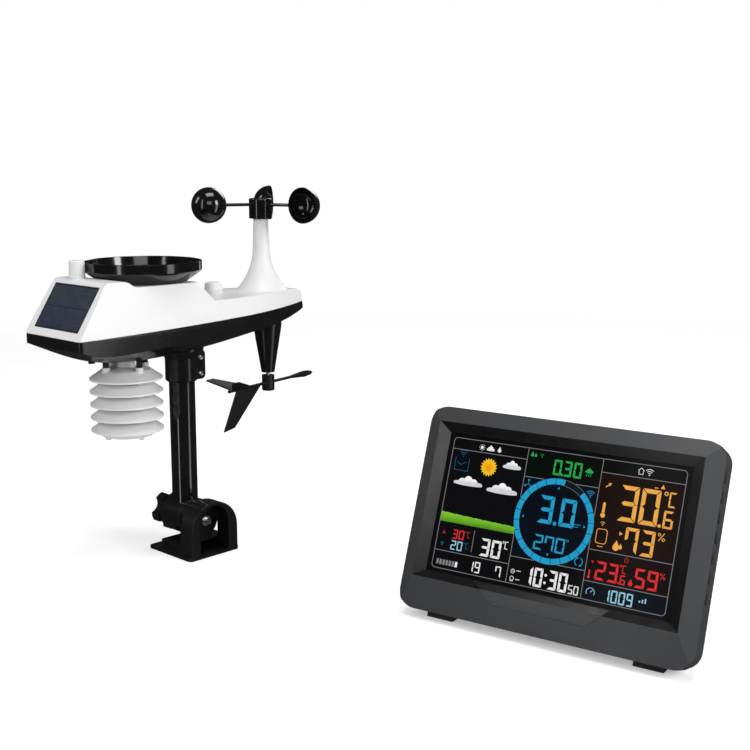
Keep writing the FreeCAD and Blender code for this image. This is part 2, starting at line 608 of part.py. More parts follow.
def shell_seal(form, below):
    """A soft cord in a groove around the joint between the shells."""
    outer = hull_form("seal_outside", "seal_inset")
    inner = hull_form("seal_inside", "(seal_inset + seal_width)")
    level = "nose_y - 8"
    far = "tail_y + 8"
    corners = [(level, seam("(%s)" % level) + " - seal_height"), (far, seam("(%s)" % far) + " - seal_height"),
               (far, seam("(%s)" % far)), (level, seam("(%s)" % level))]
    layer = padded("seal_layer", corners, "YZ", "2 * keel_half", ("-keel_half", 0, 0))
    return keep("shell_seal", cut("seal", common("seal_slice", outer, layer), inner))


def funnel_space():
    """The room that the funnel's skirt needs in the upper shell's brow."""
    return turned("funnel_space_turn", [
        (0, "chamber_top + 3"), ("neck_radius + funnel_gap", "chamber_top + 3"),
        ("neck_radius + funnel_gap", "skirt_z - funnel_gap"),
        ("skirt_radius + funnel_gap", "skirt_z - funnel_gap"),
        ("rim_radius + 1", "rim_top - rim_band - 1"), ("rim_radius + 1", "rim_top"), (0, "rim_top")],
        (0, "funnel_y", 0))


def upper_shell(form, core):
    above = beside_seam("above_seam", True)
    roof = roof_profile("roof_outside", 0)
    shaped = common("upper_shaped", form, roof, above)
    outside, cavity = tower()
    inside = common("upper_inside", core, roof_profile("roof_inside", "wall"))
    bosses = [
        cylinder("upper_boss_%d" % index, "shell_boss", "draft_top - seam_nose + 10",
                 (x, y, "seam_nose - 10"))
        for index, (x, y) in enumerate(shell_screw_places())
    ]
    posts = common("upper_posts", fuse("upper_post_solid", *bosses), above, roof, form)
    solid = fuse("upper_solid", cut("upper_wall", fuse("upper_block", shaped, outside), inside), posts)
    panel_bed = slanted_slab("panel_bed", "panel_half + panel_gap",
                             "panel_length + 2 * panel_gap", "-panel_sunk - panel_thick", "20")
    cable = cylinder("panel_cable_hole", "2", "20", (0, "panel_y - 4", "plateau_z - 30"), "Y")
    shanks = [
        cylinder("upper_shank_hole_%d" % index, "shell_screw_radius",
                 "shell_screw_tip - seam_nose + 10", (x, y, "seam_nose - 10"))
        for index, (x, y) in enumerate(shell_screw_places())
    ]
    keep("upper_shell", cut("upper", solid, cavity, funnel_space(), panel_bed, cable, *shanks))
    keep("solar_panel", slanted_slab("panel", "panel_half", "panel_length",
                                     "-panel_sunk - panel_thick", "-panel_sunk"))


def shell_screws():
    screws = []
    for index, (x, y) in enumerate(shell_screw_places()):
        name = "shell_screw_%d" % index
        head = cylinder(name + "_head", "shell_head_radius", "shell_head_thick",
                        (x, y, "shell_head_top - shell_head_thick"))
        shank = cylinder(name + "_shank", "shell_screw_radius", "shell_screw_tip - shell_head_top",
                         (x, y, "shell_head_top"))
        slot = hexagon(name + "_slot", 1.4, 1.4, (x, y, "shell_head_top - shell_head_thick - 0.2"), "Z")
        screws.append(cut(name, fuse(name + "_solid", head, shank), slot))
    keep("shell_screws", group("hull_screws", *screws))


def reset_button():
    """A press button under the nose, held in by its flange."""
    stem = cylinder("reset_stem", "reset_radius", "reset_top - reset_low", (0, "reset_y", "reset_low"))
    flange = cylinder("reset_flange", "reset_radius + 1.6", "1.6", (0, "reset_y", "reset_top"))
    keep("reset_button", fuse("reset", stem, flange))


def posts_on_brow():
    keep("antenna_post", turned("post", [
        (0, "plateau_z"), ("post_radius", "plateau_z"), ("post_radius - 0.3", "post_top - 1.5", 1.5),
        ("post_radius - 1.8", "post_top"), (0, "post_top")], ("post_x", "post_y", 0)))
    keep("light_sensor_dome", turned("dome", [
        (0, "deck_z"), ("dome_base", "deck_z"), ("dome_waist", "dome_waist_z"),
        ("dome_shoulder", "dome_shoulder_z", 2.5), ("dome_shoulder - 2.2", "dome_top - 0.4"),
        (0, "dome_top")], (0, "dome_y", 0)))


# ---------------------------------------------------------------- rain gauge

def rain_funnel():
    body = turned("funnel_turn", [
        ("rim_radius", "rim_top"), ("rim_radius - 1.6", "rim_top + 0.4"),
        ("rim_radius - funnel_wall", "rim_top"),
        ("rim_radius - funnel_wall - 1.2", "rim_top - rim_band"),
        ("neck_radius - 1", "skirt_z + 1.5"), ("neck_radius - 4", "neck_z"),
        ("spout_bore", "spout_z + 2.5"), ("spout_bore", "spout_end"), ("spout_radius", "spout_end"),
        ("spout_radius", "spout_z"), ("neck_radius - 3", "neck_z - funnel_wall"),
        ("neck_radius", "neck_z - funnel_wall"), ("neck_radius", "skirt_z"),
        ("skirt_radius", "skirt_z"), ("rim_radius - 1.8", "rim_top - rim_band - 1.8"),
        ("rim_radius", "rim_top - rim_band")], (0, "funnel_y", 0))
    keep("rain_funnel", body)


def debris_screen():
    """A slotted cap that keeps leaves out of the spout."""
    cap = turned("screen_turn", [
        (0, "screen_z"), ("screen_radius - 1", "screen_z"), ("screen_radius", "screen_z - 1"),
        ("screen_radius", "screen_foot"), ("screen_radius - 1.4", "screen_foot"),
        ("screen_radius - 1.4", "screen_z - 1.4"), (0, "screen_z - 1.4")], (0, "funnel_y", 0))
    slots = []
    for index in range(5):
        across = 4 * index - 8
        reach = "sqrt((screen_radius - 3) ^ 2 - %d)" % across ** 2
        slots.append(block("screen_slot_%d" % index, ("%d - 0.9" % across, "%d + 0.9" % across),
                           ("funnel_y - " + reach, "funnel_y + " + reach),
                           ("screen_z - 3", "screen_z + 1")))
    keep("debris_screen", cut("screen", cap, *slots))


def rain_chamber():
    near = "funnel_y - chamber_length / 2"
    far = "funnel_y + chamber_length / 2"
    outside = block("chamber_outside", ("-chamber_half", "chamber_half"), (near, far),
                    ("chamber_floor", "chamber_top"))
    inside = block("chamber_inside", ("chamber_wall - chamber_half", "chamber_half - chamber_wall"),
                   (near + " + chamber_wall", far + " - chamber_wall"),
                   ("chamber_floor + chamber_wall", "chamber_top + 1"))
    drains = [
        block("chamber_drain_%d" % index, ("%d - 1.2" % across, "%d + 1.2" % across),
              ("funnel_y - 8", "funnel_y + 14"), ("chamber_floor - 1", "chamber_floor + 3"))
        for index, across in enumerate((-10, 0, 10))
    ]
    bore = cylinder("chamber_axle_bore", "axle_radius", "2 * chamber_half + 2",
                    ("-chamber_half - 1", "funnel_y", "axle_z"), "X")
    keep("rain_chamber", cut("chamber", outside, inside, bore, *drains))
    keep("bucket_axle", cylinder("axle", "axle_radius", "2 * chamber_half",
                                 ("-chamber_half", "funnel_y", "axle_z"), "X"))
    keep("rain_sensor_board", block("rain_board", ("-chamber_half - 3.4", "-chamber_half - 1.8"),
                                    ("funnel_y - 12", "funnel_y + 12"), ("axle_z - 6", "axle_z + 18")))


def tipping_bucket():
    """Two scoops back to back on one axle, resting on one side."""
    lean = App.Rotation(App.Vector(1, 0, 0), SIZES["bucket_tip"])
    at = (0, "funnel_y", "axle_z")
    side = [("-bucket_reach", 10), (-3, 1.6), (3, 1.6), ("bucket_reach", 10), ("bucket_reach", 13),
            (1.5, "bucket_rise"), (-1.5, "bucket_rise"), ("-bucket_reach", 13)]
    solid = padded("bucket_side", side, "YZ", "2 * bucket_half", ("-bucket_half", 0, 0))
    scoops = []
    for name, sign in (("near", "-"), ("far", "")):
        corners = [(sign + "bucket_reach", 11.6), (sign + "0.7", 3), (sign + "0.7", 40),
                   (sign + "(bucket_reach + 5)", 40), (sign + "(bucket_reach + 5)", 11.6)]
        corners = [(text.replace("--", ""), up) for text, up in corners]
        if name == "far":
            corners.reverse()
        scoops.append(padded("scoop_" + name, corners, "YZ", "2 * (bucket_half - bucket_wall)",
                             ("bucket_wall - bucket_half", 0, 0)))
    boss = cylinder("bucket_boss", 2.6, "2 * bucket_half", ("-bucket_half", 0, 0), "X")
    bore = cylinder("bucket_bore", "axle_radius + axle_gap", "2 * bucket_half + 2",
                    ("-bucket_half - 1", 0, 0), "X")
    hollow = fuse("bucket_solid", cut("bucket_scooped", solid, *scoops), boss)
    keep("tipping_bucket", place(cut("bucket", hollow, bore), at, lean))
    magnet = cylinder("bucket_magnet_disc", "magnet_radius", "magnet_thick",
                      ("-bucket_half - magnet_thick", 0, 8.5), "X")
    keep("bucket_magnet", place(group("bucket_magnet_seat", magnet), at, lean))


# ---------------------------------------------------------------- wind cups and vane

def bearing_pair(name, y, heights):
    rings = []
    for index, height in enumerate(heights):
        ring = cylinder("%s_ring_%d" % (name, index), "bearing_radius", "bearing_height", (0, y, height))
        hole = cylinder("%s_hole_%d" % (name, index), "shaft_radius + shaft_gap", "bearing_height + 2",
                        (0, y, height + " - 1"))
        rings.append(cut("%s_%d" % (name, index), ring, hole))
    return group(name + "_pair", *rings)


def cup_rotor():
    hub = turned("rotor_hub", [
        ("shaft_radius", "hub_bottom"), ("hub_radius", "hub_bottom"),
        ("hub_radius", "hub_top - hub_crown", "hub_crown"), ("hub_radius - hub_crown", "hub_top"),
        (0, "hub_top + 0.6"), (0, "rotor_shaft_top"), ("shaft_radius", "rotor_shaft_top")],
        (0, "tower_y", 0))
    solids = [hub]
    hollows = []
    for index in range(3):
        angle = SIZES["first_arm"] + 120 * index
        outward = App.Vector(math.cos(math.radians(angle)), math.sin(math.radians(angle)), 0)
        closed_side = App.Vector(-outward.y, outward.x, 0)
        start = "hub_radius - 2"
        arm = cylinder("arm_%d" % index, "arm_radius", "cup_reach - cup_radius - hub_radius + 2.8",
                       ("(%s) * cos(%d)" % (start, angle), "tower_y + (%s) * sin(%d)" % (start, angle),
                        "arm_z"), App.Rotation(App.Vector(0, 0, 1), outward))
        centre = ("cup_reach * cos(%d)" % angle, "tower_y + cup_reach * sin(%d)" % angle, "arm_z")
        facing = App.Rotation(App.Vector(0, 0, 1), closed_side)
        shell = bind(add("Part::Sphere", "cup_%d" % index), Radius="cup_radius")
        shell.Angle1 = 0
        hollow = bind(add("Part::Sphere", "cup_hollow_%d" % index), Radius="cup_radius - cup_wall")
        solids += [arm, place(shell, centre, facing)]
        hollows.append(place(hollow, centre, facing))
    keep("cup_rotor", cut("rotor", fuse("rotor_solid", *solids), *hollows))
    keep("rotor_shaft", cylinder("rotor_axle", "shaft_radius", "rotor_shaft_top - rotor_shaft_bottom",
                                 (0, "tower_y", "rotor_shaft_bottom")))
    keep("rotor_bearings", bearing_pair("rotor_bearing", "tower_y",
                                        ("tower_bore_z", "tower_top - 2 - bearing_height")))
    keep("rotor_magnet", cylinder("rotor_disc", "sensor_magnet_radius", "rotor_magnet_thick",
                                  (0, "tower_y", "rotor_shaft_bottom - rotor_magnet_thick")))
    keep("wind_speed_board", block("speed_board", (-14, 14), ("tower_y - 15", "tower_y + 15"),
                                   ("rotor_shaft_bottom - 10", "rotor_shaft_bottom - 8.4")))


def vane_housing(belly):
    outside = turned("housing_turn", [
        (0, "housing_tip"), ("housing_tip_radius", "housing_tip"),
        ("housing_top_radius", "housing_shoulder"), ("housing_top_radius", "keel_lid - 10"),
        (0, "keel_lid - 10")], (0, "vane_y", 0))
    bore = turned("housing_bore", [
        (0, "housing_tip - 1"), ("shaft_radius + 0.8", "housing_tip - 1"),
        ("shaft_radius + 0.8", "housing_tip + 1.5"), ("bearing_radius", "housing_tip + 1.5"),
        ("bearing_radius", "keel_lid"), (0, "keel_lid")], (0, "vane_y", 0))
    keep("vane_housing", cut("housing", cut("housing_outside", outside, belly), bore))
    keep("vane_bearings", bearing_pair("vane_bearing", "vane_y",
                                       ("housing_tip + 1.5", "housing_shoulder - 8")))
    keep("vane_shaft", cylinder("vane_axle", "shaft_radius", "vane_shaft_top - vane_shaft_bottom",
                                (0, "vane_y", "vane_shaft_bottom")))
    keep("vane_magnet", cylinder("vane_disc", "sensor_magnet_radius", "rotor_magnet_thick",
                                 (0, "vane_y", "vane_shaft_top")))
    keep("wind_direction_board", block(
        "direction_board", (-13, 13), ("vane_y - 14", "vane_y + 14"),
        ("vane_shaft_top + rotor_magnet_thick + 1.4", "vane_shaft_top + rotor_magnet_thick + 3")))


def fin(name, corners, roll):
    """A thin blade beside the vane's rod, in the rod's own frame, rolled about the rod."""
    blade = padded(name, corners, "XZ", "fin_thick", (0, "fin_thick / 2", 0))
    return place(group(name + "_rolled", blade), (0, 0, 0), App.Rotation(App.Vector(1, 0, 0), roll))


def wind_vane():
    """The vane: its hub, a rod along its own X, three swept fins and a pointed counterweight."""
    hub = turned("vane_hub", [
        (0, "vane_hub_bottom - vane_rod_z"), ("vane_hub_radius - 0.8", "vane_hub_bottom - vane_rod_z"),
        ("vane_hub_radius", "vane_hub_bottom - vane_rod_z + 0.8"),
        ("vane_hub_radius", "vane_hub_top - vane_rod_z"), (0, "vane_hub_top - vane_rod_z")])
    rod = cylinder("vane_rod", "vane_rod_radius", "vane_tail + vane_head", ("-vane_head", 0, 0), "X")
    point = padded("vane_point", [
        ("-vane_head - 18", 0), ("-vane_head - 13", -2.4), ("-vane_head - 3", -3.4),
        ("22 - vane_head", -1.4), ("22 - vane_head", 1.4), ("-vane_head - 3", 3.4),
        ("-vane_head - 13", 2.4)], "XZ", 3, (0, 1.5, 0))
    main_fin = [(12.5, 0), (58, "2 - vane_rod_z + vane_fin_low"), (75, "vane_fin_low - vane_rod_z"),
                (53, 0)]
    small_fin = [(28, 0), (60, 0), (81, -22), (70, -22)]
    fins = [fin("fin_down", main_fin, 0), fin("fin_left", small_fin, 125), fin("fin_right", small_fin, -125)]
    bore = cylinder("vane_bore", "shaft_radius", "40", (0, 0, "vane_shaft_bottom - vane_rod_z"))
    solid = cut("vane", fuse("vane_solid", hub, rod, point, *fins), bore)
    turn = App.Rotation(App.Vector(0, 0, 1), SIZES["vane_turn"] - 90)
    keep("wind_vane", place(solid, (0, "vane_y", "vane_rod_z"), turn))


# ---------------------------------------------------------------- radiation shield

def standoff_places():
    reach = "standoff_reach"
    return [(reach, "shield_y"), (minus(reach), "shield_y"), (0, "shield_y + standoff_reach"),
            (0, "shield_y - standoff_reach")]


def bored(name, solid, radius):
    holes = [cylinder("%s_stud_%d" % (name, index), radius, "120", (x, y, "shield_floor - 10"))
             for index, (x, y) in enumerate(standoff_places())]
    return cut(name, solid, *holes)


def shield(belly):
    at = (0, "shield_y", 0)
    cone_top = "roof_rim + plate_rise"
    roof = turned("roof_turn", [
        ("neck_inner", cone_top + " + 0.6"), ("plate_ring - 1", cone_top + " - plate_wall"),
        ("plate_radius - 1", "roof_rim"), ("plate_radius", "roof_rim"),
        ("plate_radius", "roof_rim + plate_edge"), ("plate_ring", cone_top),
        ("neck_outer", cone_top + " + 2.6"), ("neck_outer", "keel_lid - 20"),
        ("neck_inner", "keel_lid - 20")], at)
    bosses = [cylinder("roof_boss_%d" % index, "boss_radius", "boss_top - (%s) + 3.5" % cone_top,
                       (x, y, cone_top + " - 3.5"))
              for index, (x, y) in enumerate(standoff_places())]
    solid = fuse("roof_solid", roof, *bosses)
    keep("shield_roof", bored("roof_piece", cut("roof_trimmed", solid, belly), "stud_radius"))
    plates = []
    for index in range(1, 5):
        name = "plate_%d" % index
        rim = "roof_rim - plate_pitch * %d" % index
        ring = rim + " + plate_rise"
        disc = turned(name + "_turn", [
            ("plate_bore", ring + " - plate_wall"), ("plate_ring - 1", ring + " - plate_wall"),
            ("plate_radius - 1", rim), ("plate_radius", rim), ("plate_radius", rim + " + plate_edge"),
            ("plate_ring", ring), ("plate_bore", ring)], at)
        spacers = [cylinder("%s_spacer_%d" % (name, post), "standoff_radius", "plate_pitch - plate_wall",
                            (x, y, ring)) for post, (x, y) in enumerate(standoff_places())]
        shapes = [disc] + spacers
        if index == 4:
            shapes += shield_base(rim, ring)
        plates.append(bored(name, fuse(name + "_solid", *shapes), "stud_radius"))
    keep("shield_plates", cut("plate_stack", group("plate_set", *plates), solid))
    sleeves = []
    for index, (x, y) in enumerate(standoff_places()):
        name = "standoff_%d" % index
        sleeve = cylinder(name + "_sleeve", "standoff_radius", "40", (x, y, "boss_top"))
        stud = cylinder(name + "_stud", "stud_radius", "boss_top - shield_floor - 1",
                        (x, y, "shield_floor + 1"))
        sleeves.append(cut(name, fuse(name + "_solid", sleeve, stud), belly))
    keep("shield_standoffs", group("standoff_set", *sleeves))
    board = block("th_board", (-6, 6), ("shield_y - 0.8", "shield_y + 0.8"),
                  ("shield_floor + 9", "chamber_floor - 4"))
    chip = block("th_chip", (-3, 3), ("shield_y - 2.4", "shield_y - 0.8"),
                 ("shield_floor + 12", "shield_floor + 20"))
    keep("th_sensor_board", fuse("th_board_set", board, chip))


def shield_base(rim, ring):
    """The closed cup under the lowest plate, with its small feet."""
    cup = turned("base_cup", [
        (0, "shield_floor"), ("plate_ring + 1", "shield_floor"), ("plate_ring + 3", rim + " + 3"),
        ("plate_ring + 1.4", rim + " + 3"), ("plate_ring - 0.4", "shield_floor + plate_wall"),
        (0, "shield_floor + plate_wall")], (0, "shield_y", 0))
    posts = [cylinder("base_post_%d" % index, "standoff_radius", ring + " - plate_wall - shield_floor",
                      (x, y, "shield_floor")) for index, (x, y) in enumerate(standoff_places())]
    feet = [cylinder("base_foot_%d" % index, "foot_radius", 2, (x, y, "shield_floor - 2"))
            for index, (x, y) in enumerate(standoff_places())]
    return [cup] + posts + feet


# ---------------------------------------------------------------- power and electronics

def main_board():
    board = block("board_slab", ("-board_half", "board_half"), ("board_start", "board_end"),
                  ("board_z", "board_z + 1.6"))
    chips = [
        block("board_radio", (-12, 6), ("board_start + 8", "board_start + 22"),
              ("board_z + 1.6", "board_z + 4")),
        block("board_chip", (8, 20), ("board_start + 30", "board_start + 42"),
              ("board_z + 1.6", "board_z + 3.2")),
    ]
    keep("main_board", fuse("board_set", board, *chips))


def battery_cells():
    cells = []
    contacts = []
    for index, across in enumerate((-16, 0, 16)):
        at = (across, "cell_start", "cell_z")
        can = cylinder("cell_%d_can" % index, "cell_radius", "cell_length - 1.2", at, "Y")
        cap = cylinder("cell_%d_cap" % index, 2.7, 1.2,
                       (across, "cell_start + cell_length - 1.2", "cell_z"), "Y")
        cells.append(fuse("cell_%d" % index, can, cap))
        for end, y in (("near", "cell_start - 0.8"), ("far", "cell_start + cell_length")):
            contacts.append(block("contact_%d_%s" % (index, end), ("%d - 4" % across, "%d + 4" % across),
                                  (y, y + " + 0.8"), ("cell_z - 4", "cell_z + 5")))
    keep("battery_cells", group("cell_row", *cells))
    keep("battery_contacts", group("contact_row", *contacts))


def outdoor_unit():
    mounting_bracket()
    pivot_bolt()
    clamp_knob()
    mast_foot()
    mast_tube()
    form = hull_form("hull_outside", "0")
    core = hull_form("hull_inside", "wall")
    belly = keel("keel_outside", "0")
    inner_belly = keel("keel_inside", "wall")
    mast_collar(belly)
    collar_screws()
    lower_shell(form, core, belly, inner_belly)
    upper_shell(form, core)
    shell_screws()
    reset_button()
    posts_on_brow()
    rain_funnel()
    debris_screen()
    rain_chamber()
    tipping_bucket()
    cup_rotor()
    vane_housing(belly)
    wind_vane()
    shield(belly)
    main_board()
    battery_cells()


# ---------------------------------------------------------------- console

def rotate(thing, axis, angle, at):
    """Turns a thing about an axis by a bound angle and puts it at a bound position."""
    thing.Placement = App.Placement(App.Vector(), App.Rotation(App.Vector(*axis), 1))
    thing.setExpression("Placement.Rotation.Angle", on_sheet(angle))
    for axis_name, size in zip("xyz", at):
        thing.setExpression("Placement.Base." + axis_name, on_sheet(size))
    return thing


def face_room(thing):
    """Turns a leaned console piece about the vertical and puts it at the console's place."""
    return rotate(group(thing.Name + "_in_place", thing), (0, 0, 1), "console_turn",
                  ("console_x", "console_y", 0))


def stand_up(thing):
    """Leans a console piece back from its own upright frame, and puts it at the console's place."""
    rotate(thing, (-1, 0, 0), "console_lean", (0, 0, "foot_low * cos(console_lean)"))
    return face_room(thing)


def upright(name, left, right, low, high, depth, corner=None):
    """A rectangle that faces -Y at a depth, for a loft."""
    if corner:
        corners = rounded(left, right, low, high, corner)
    else:
        corners = [(left, low), (right, low), (right, high), (left, high)]
    return outline(name, corners, "XZ", (0, depth, 0))


def case_screw_places():
    return [(sign + "case_screw_side", height) for sign in ("-", "")
            for height in ("case_screw_low", "case_screw_high")]


def button_heights():
    return ["button_first - %d * button_pitch" % index for index in range(7)]


def front_bezel():
    """The picture-frame front: mitred bands that slope back to rounded corners."""
    outer = ("-console_half", "console_half", 0, "console_high")
    ridge = ("ridge_side - console_half", "console_half - ridge_side", "ridge_low",
             "console_high - ridge_top")
    glass = ("-glass_half", "glass_half", "glass_low", "glass_high")
    bands = loft("bezel_bands", upright("bezel_back", *outer, "frame_back"),
                 upright("bezel_edge", *outer, "-frame_edge"),
                 upright("bezel_ridge", *ridge, "-frame_front"))
    corners = padded("bezel_corners", rounded(*outer, "frame_corner"), "XZ", "40", (0, "frame_back", 0))
    hopper = loft("bezel_hopper", upright("hopper_front", *ridge, "-frame_front - 0.01"),
                  upright("hopper_back", *glass, "-glass_front"),
                  upright("hopper_end", *glass, "-lcd_front + 1"))
    bed = block("lcd_bed", ("-glass_half - lcd_margin - lcd_gap", "glass_half + lcd_margin + lcd_gap"),
                ("-lcd_front", "-cavity_front + 1"),
                ("glass_low - lcd_margin - lcd_gap", "glass_high + lcd_margin + lcd_gap"))
    cavity = padded("bezel_cavity", rounded(
        "frame_wall - console_half", "console_half - frame_wall", "frame_wall",
        "console_high - frame_wall", "(frame_corner - frame_wall)"), "XZ",
        "cavity_front + frame_back + 1", (0, "frame_back + 1", 0))
    scoop = loft("bezel_scoop",
                 upright_trapezium("scoop_front", "scoop_flare * 0.6", "-frame_front - 2"),
                 upright_trapezium("scoop_back", 0, "-scoop_floor"))
    posts = [
        cylinder("bezel_post_%d" % index, "case_boss", "cavity_front + frame_back",
                 (x, "-cavity_front", z), "Y")
        for index, (x, z) in enumerate(case_screw_places())
    ]
    shanks = [
        cylinder("bezel_shank_hole_%d" % index, "case_shank", "cavity_front + frame_back",
                 (x, "-cavity_front + 1", z), "Y")
        for index, (x, z) in enumerate(case_screw_places())
    ]
    slots = [
        button_pill("bezel_slot_%d" % index, height, "button_gap", "frame_wall + 2",
                    "console_half - frame_wall - 1")
        for index, height in enumerate(button_heights())
    ]
    hollow = cut("bezel_hollow", common("bezel_solid", bands, corners), hopper, bed, cavity, scoop)
    keep("front_bezel", stand_up(cut("bezel", fuse("bezel_posts", hollow, *posts), *shanks, *slots)))


def upright_trapezium(name, flare, depth):
    """The finger scoop under the glass."""
    wide = "scoop_top_half + %s" % flare
    narrow = "scoop_low_half + %s" % flare
    high = "glass_low + 1"
    low = "scoop_low - %s" % flare
    corners = [(minus(narrow), low), (narrow, low), (wide, "scoop_top"), (wide, high),
               (minus(wide), high), (minus(wide), "scoop_top")]
    return outline(name, corners, "XZ", (0, depth, 0))


def button_pill(name, height, margin, length, start):
    corners = rounded("-button_depth - button_wide - %s" % margin, "-button_depth + button_wide + %s" % margin,
                      "%s - button_long - %s" % (height, margin), "%s + button_long + %s" % (height, margin),
                      "(button_wide - 0.1)")
    return padded(name, corners, "YZ", length, (start, 0, 0))


def side_buttons():
    for index, height in enumerate(button_heights(), 1):
        name = "side_button_%d" % index
        cap = button_pill(name + "_cap", height, 0, "frame_wall + button_proud",
                          "console_half - frame_wall")
        flange = block(name + "_flange", ("console_half - frame_wall - button_flange",
                                          "console_half - frame_wall"),
                       ("-button_depth - 2.8", "2.8 - button_depth"), (height + " - 5.6", height + " + 5.6"))
        keep("button_%d" % index, stand_up(fuse(name, cap, flange)))


def display():
    side = "(glass_half + lcd_margin)"
    low = "glass_low - lcd_margin"
    high = "glass_high + lcd_margin"
    keep("lcd_panel", stand_up(group("lcd", block(
        "lcd_slab", (minus(side), side), ("-lcd_front", "-lcd_back"), (low, high)))))
    keep("backlight_panel", stand_up(group("backlight", block(
        "light_slab", (minus(side), side), ("-lcd_back", "-light_back"), (low, high)))))
    board = block("console_slab", ("-console_board_half", "console_board_half"),
                  ("-console_board_front", "1.6 - console_board_front"),
                  ("console_board_low", "console_board_high"))
    chip = block("console_chip", (-70, -52), ("1.6 - console_board_front", "0"), (60, 78))
    keep("console_board", stand_up(fuse("console_board_set", board, chip)))


def rear_cover():
    side = "(console_half - cover_inset)"
    shell = padded("cover_shell", rounded(minus(side), side, "cover_inset", "console_high - cover_inset",
                                          "(frame_corner - cover_inset)"),
                   "XZ", "cover_depth - frame_back", (0, "cover_depth", 0))
    within = "(console_half - cover_inset - cover_wall)"
    inside = padded("cover_inside", rounded(
        minus(within), within, "cover_inset + cover_wall", "console_high - cover_inset - cover_wall",
        "(frame_corner - cover_inset - cover_wall)"), "XZ", "cover_depth - cover_wall - frame_back + 1",
        (0, "cover_depth - cover_wall", 0))
    tub = block("stand_tub", ("-recess_half - 6", "recess_half + 6"),
                ("cover_depth - recess_depth - 2", "cover_depth"), ("cover_inset", "recess_high + 2"))
    recess = block("stand_recess", ("-recess_half", "recess_half"),
                   ("cover_depth - recess_depth", "cover_depth + 1"), ("recess_low", "recess_high"))
    pin_hole = cylinder("cover_pin_hole", "pin_radius", "2 * pin_half",
                        ("-pin_half", "stand_hinge_y", "stand_hinge_z"), "X")
    bay = block("cell_bay", ("-door_half - 2", "door_half + 2"), ("frame_back", "cover_depth - 1"),
                ("door_low - 2", "door_high + 2"))
    bay_room = block("cell_room", ("2 - door_half", "door_half - 2"), ("frame_back - 1", "cover_depth"),
                     ("door_low + 2", "door_high - 2"))
    door_seat = block("door_seat", ("-door_half", "door_half"), ("cover_depth - door_thick", "cover_depth + 1"),
                      ("door_low", "door_high"))
    vents = [
        block("vent_%d" % index, ("%d" % (66 + 7 * index), "%d" % (69 + 7 * index)),
              ("cover_depth - cover_wall - 1", "cover_depth + 1"), ("door_low + 8", "door_high - 8"))
        for index in range(6)
    ]
    jack_hole = cylinder("jack_hole", "jack_radius + 0.2", "10", ("jack_x", "cover_depth - 5", "jack_z"), "Y")
    posts = [
        cylinder("cover_post_%d" % index, "case_boss", "cover_depth - frame_back", (x, "frame_back", z), "Y")
        for index, (x, z) in enumerate(case_screw_places())
    ]
    heads = [
        cylinder("cover_head_hole_%d" % index, "case_head + 0.3", "6", (x, "cover_depth - 4", z), "Y")
        for index, (x, z) in enumerate(case_screw_places())
    ]
    shanks = [
        cylinder("cover_shank_hole_%d" % index, "case_shank", "14", (x, "frame_back - 1", z), "Y")
        for index, (x, z) in enumerate(case_screw_places())
    ]
    hollow = cut("cover_hollow", shell, inside)
    solid = fuse("cover_solid", hollow, tub, bay, *posts)
    keep("rear_cover", stand_up(cut("cover", solid, recess, pin_hole, bay_room, door_seat, jack_hole,
                                    *vents, *heads, *shanks)))
    keep("console_battery_door", stand_up(group("door", block(
        "door_plate", ("door_gap - door_half", "door_half - door_gap"),
        ("cover_depth - door_thick", "cover_depth"), ("door_low + door_gap", "door_high - door_gap")))))


def cover_screws():
    screws = []
    for index, (x, z) in enumerate(case_screw_places()):
        name = "cover_screw_%d" % index
        head = cylinder(name + "_head", "case_head", 1.8, (x, "cover_depth - 4", z), "Y")
        shank = cylinder(name + "_shank", "case_shank", "cover_depth - 4 + 5", (x, "-5", z), "Y")
        slot = hexagon(name + "_slot", 1.3, 1.2, (x, "cover_depth - 3", z), "Y")
        screws.append(cut(name, fuse(name + "_solid", head, shank), slot))
    keep("cover_screws", stand_up(group("case_screws", *screws)))


def console_small_parts():
    cells = []
    for index in range(4):
        at = ("-aaa_length / 2", "aaa_depth", "aaa_low - 0.1 + aaa_pitch * %d - 6" % index)
        cells.append(cylinder("aaa_cell_%d" % index, "aaa_radius", "aaa_length", at, "X"))
    keep("console_cells", stand_up(group("console_cell_row", *cells)))
    barrel = cylinder("jack_barrel", "jack_radius", "5", ("jack_x", "cover_depth - 5.4", "jack_z"), "Y")
    housing = block("jack_body", ("jack_x - 5", "jack_x + 5"), ("2.4", "cover_depth - 5.4"),
                    ("jack_z - 5", "jack_z + 5"))
    bore = cylinder("jack_bore", "2.7", "9", ("jack_x", "5", "jack_z"), "Y")
    needle = cylinder("jack_needle", "0.9", "7", ("jack_x", "5", "jack_z"), "Y")
    keep("dc_jack", stand_up(fuse("jack", cut("jack_socket", fuse("jack_solid", barrel, housing), bore),
                                  needle)))
    feet = []
    for index, across in enumerate((-1, 1)):
        lean = "tan(console_lean)"
        corners = [(3, 0.01), (3, "3 * %s - foot_low" % lean), (12, "12 * %s - foot_low" % lean), (12, 0.01)]
        corners = [(y, "0" if z == 0.01 else z) for y, z in corners]
        feet.append(padded("foot_pad_%d" % index, corners, "YZ", "26", ("%d * 96 - 13" % across, 0, 0)))
    keep("rubber_feet", stand_up(group("foot_pads", *feet)))


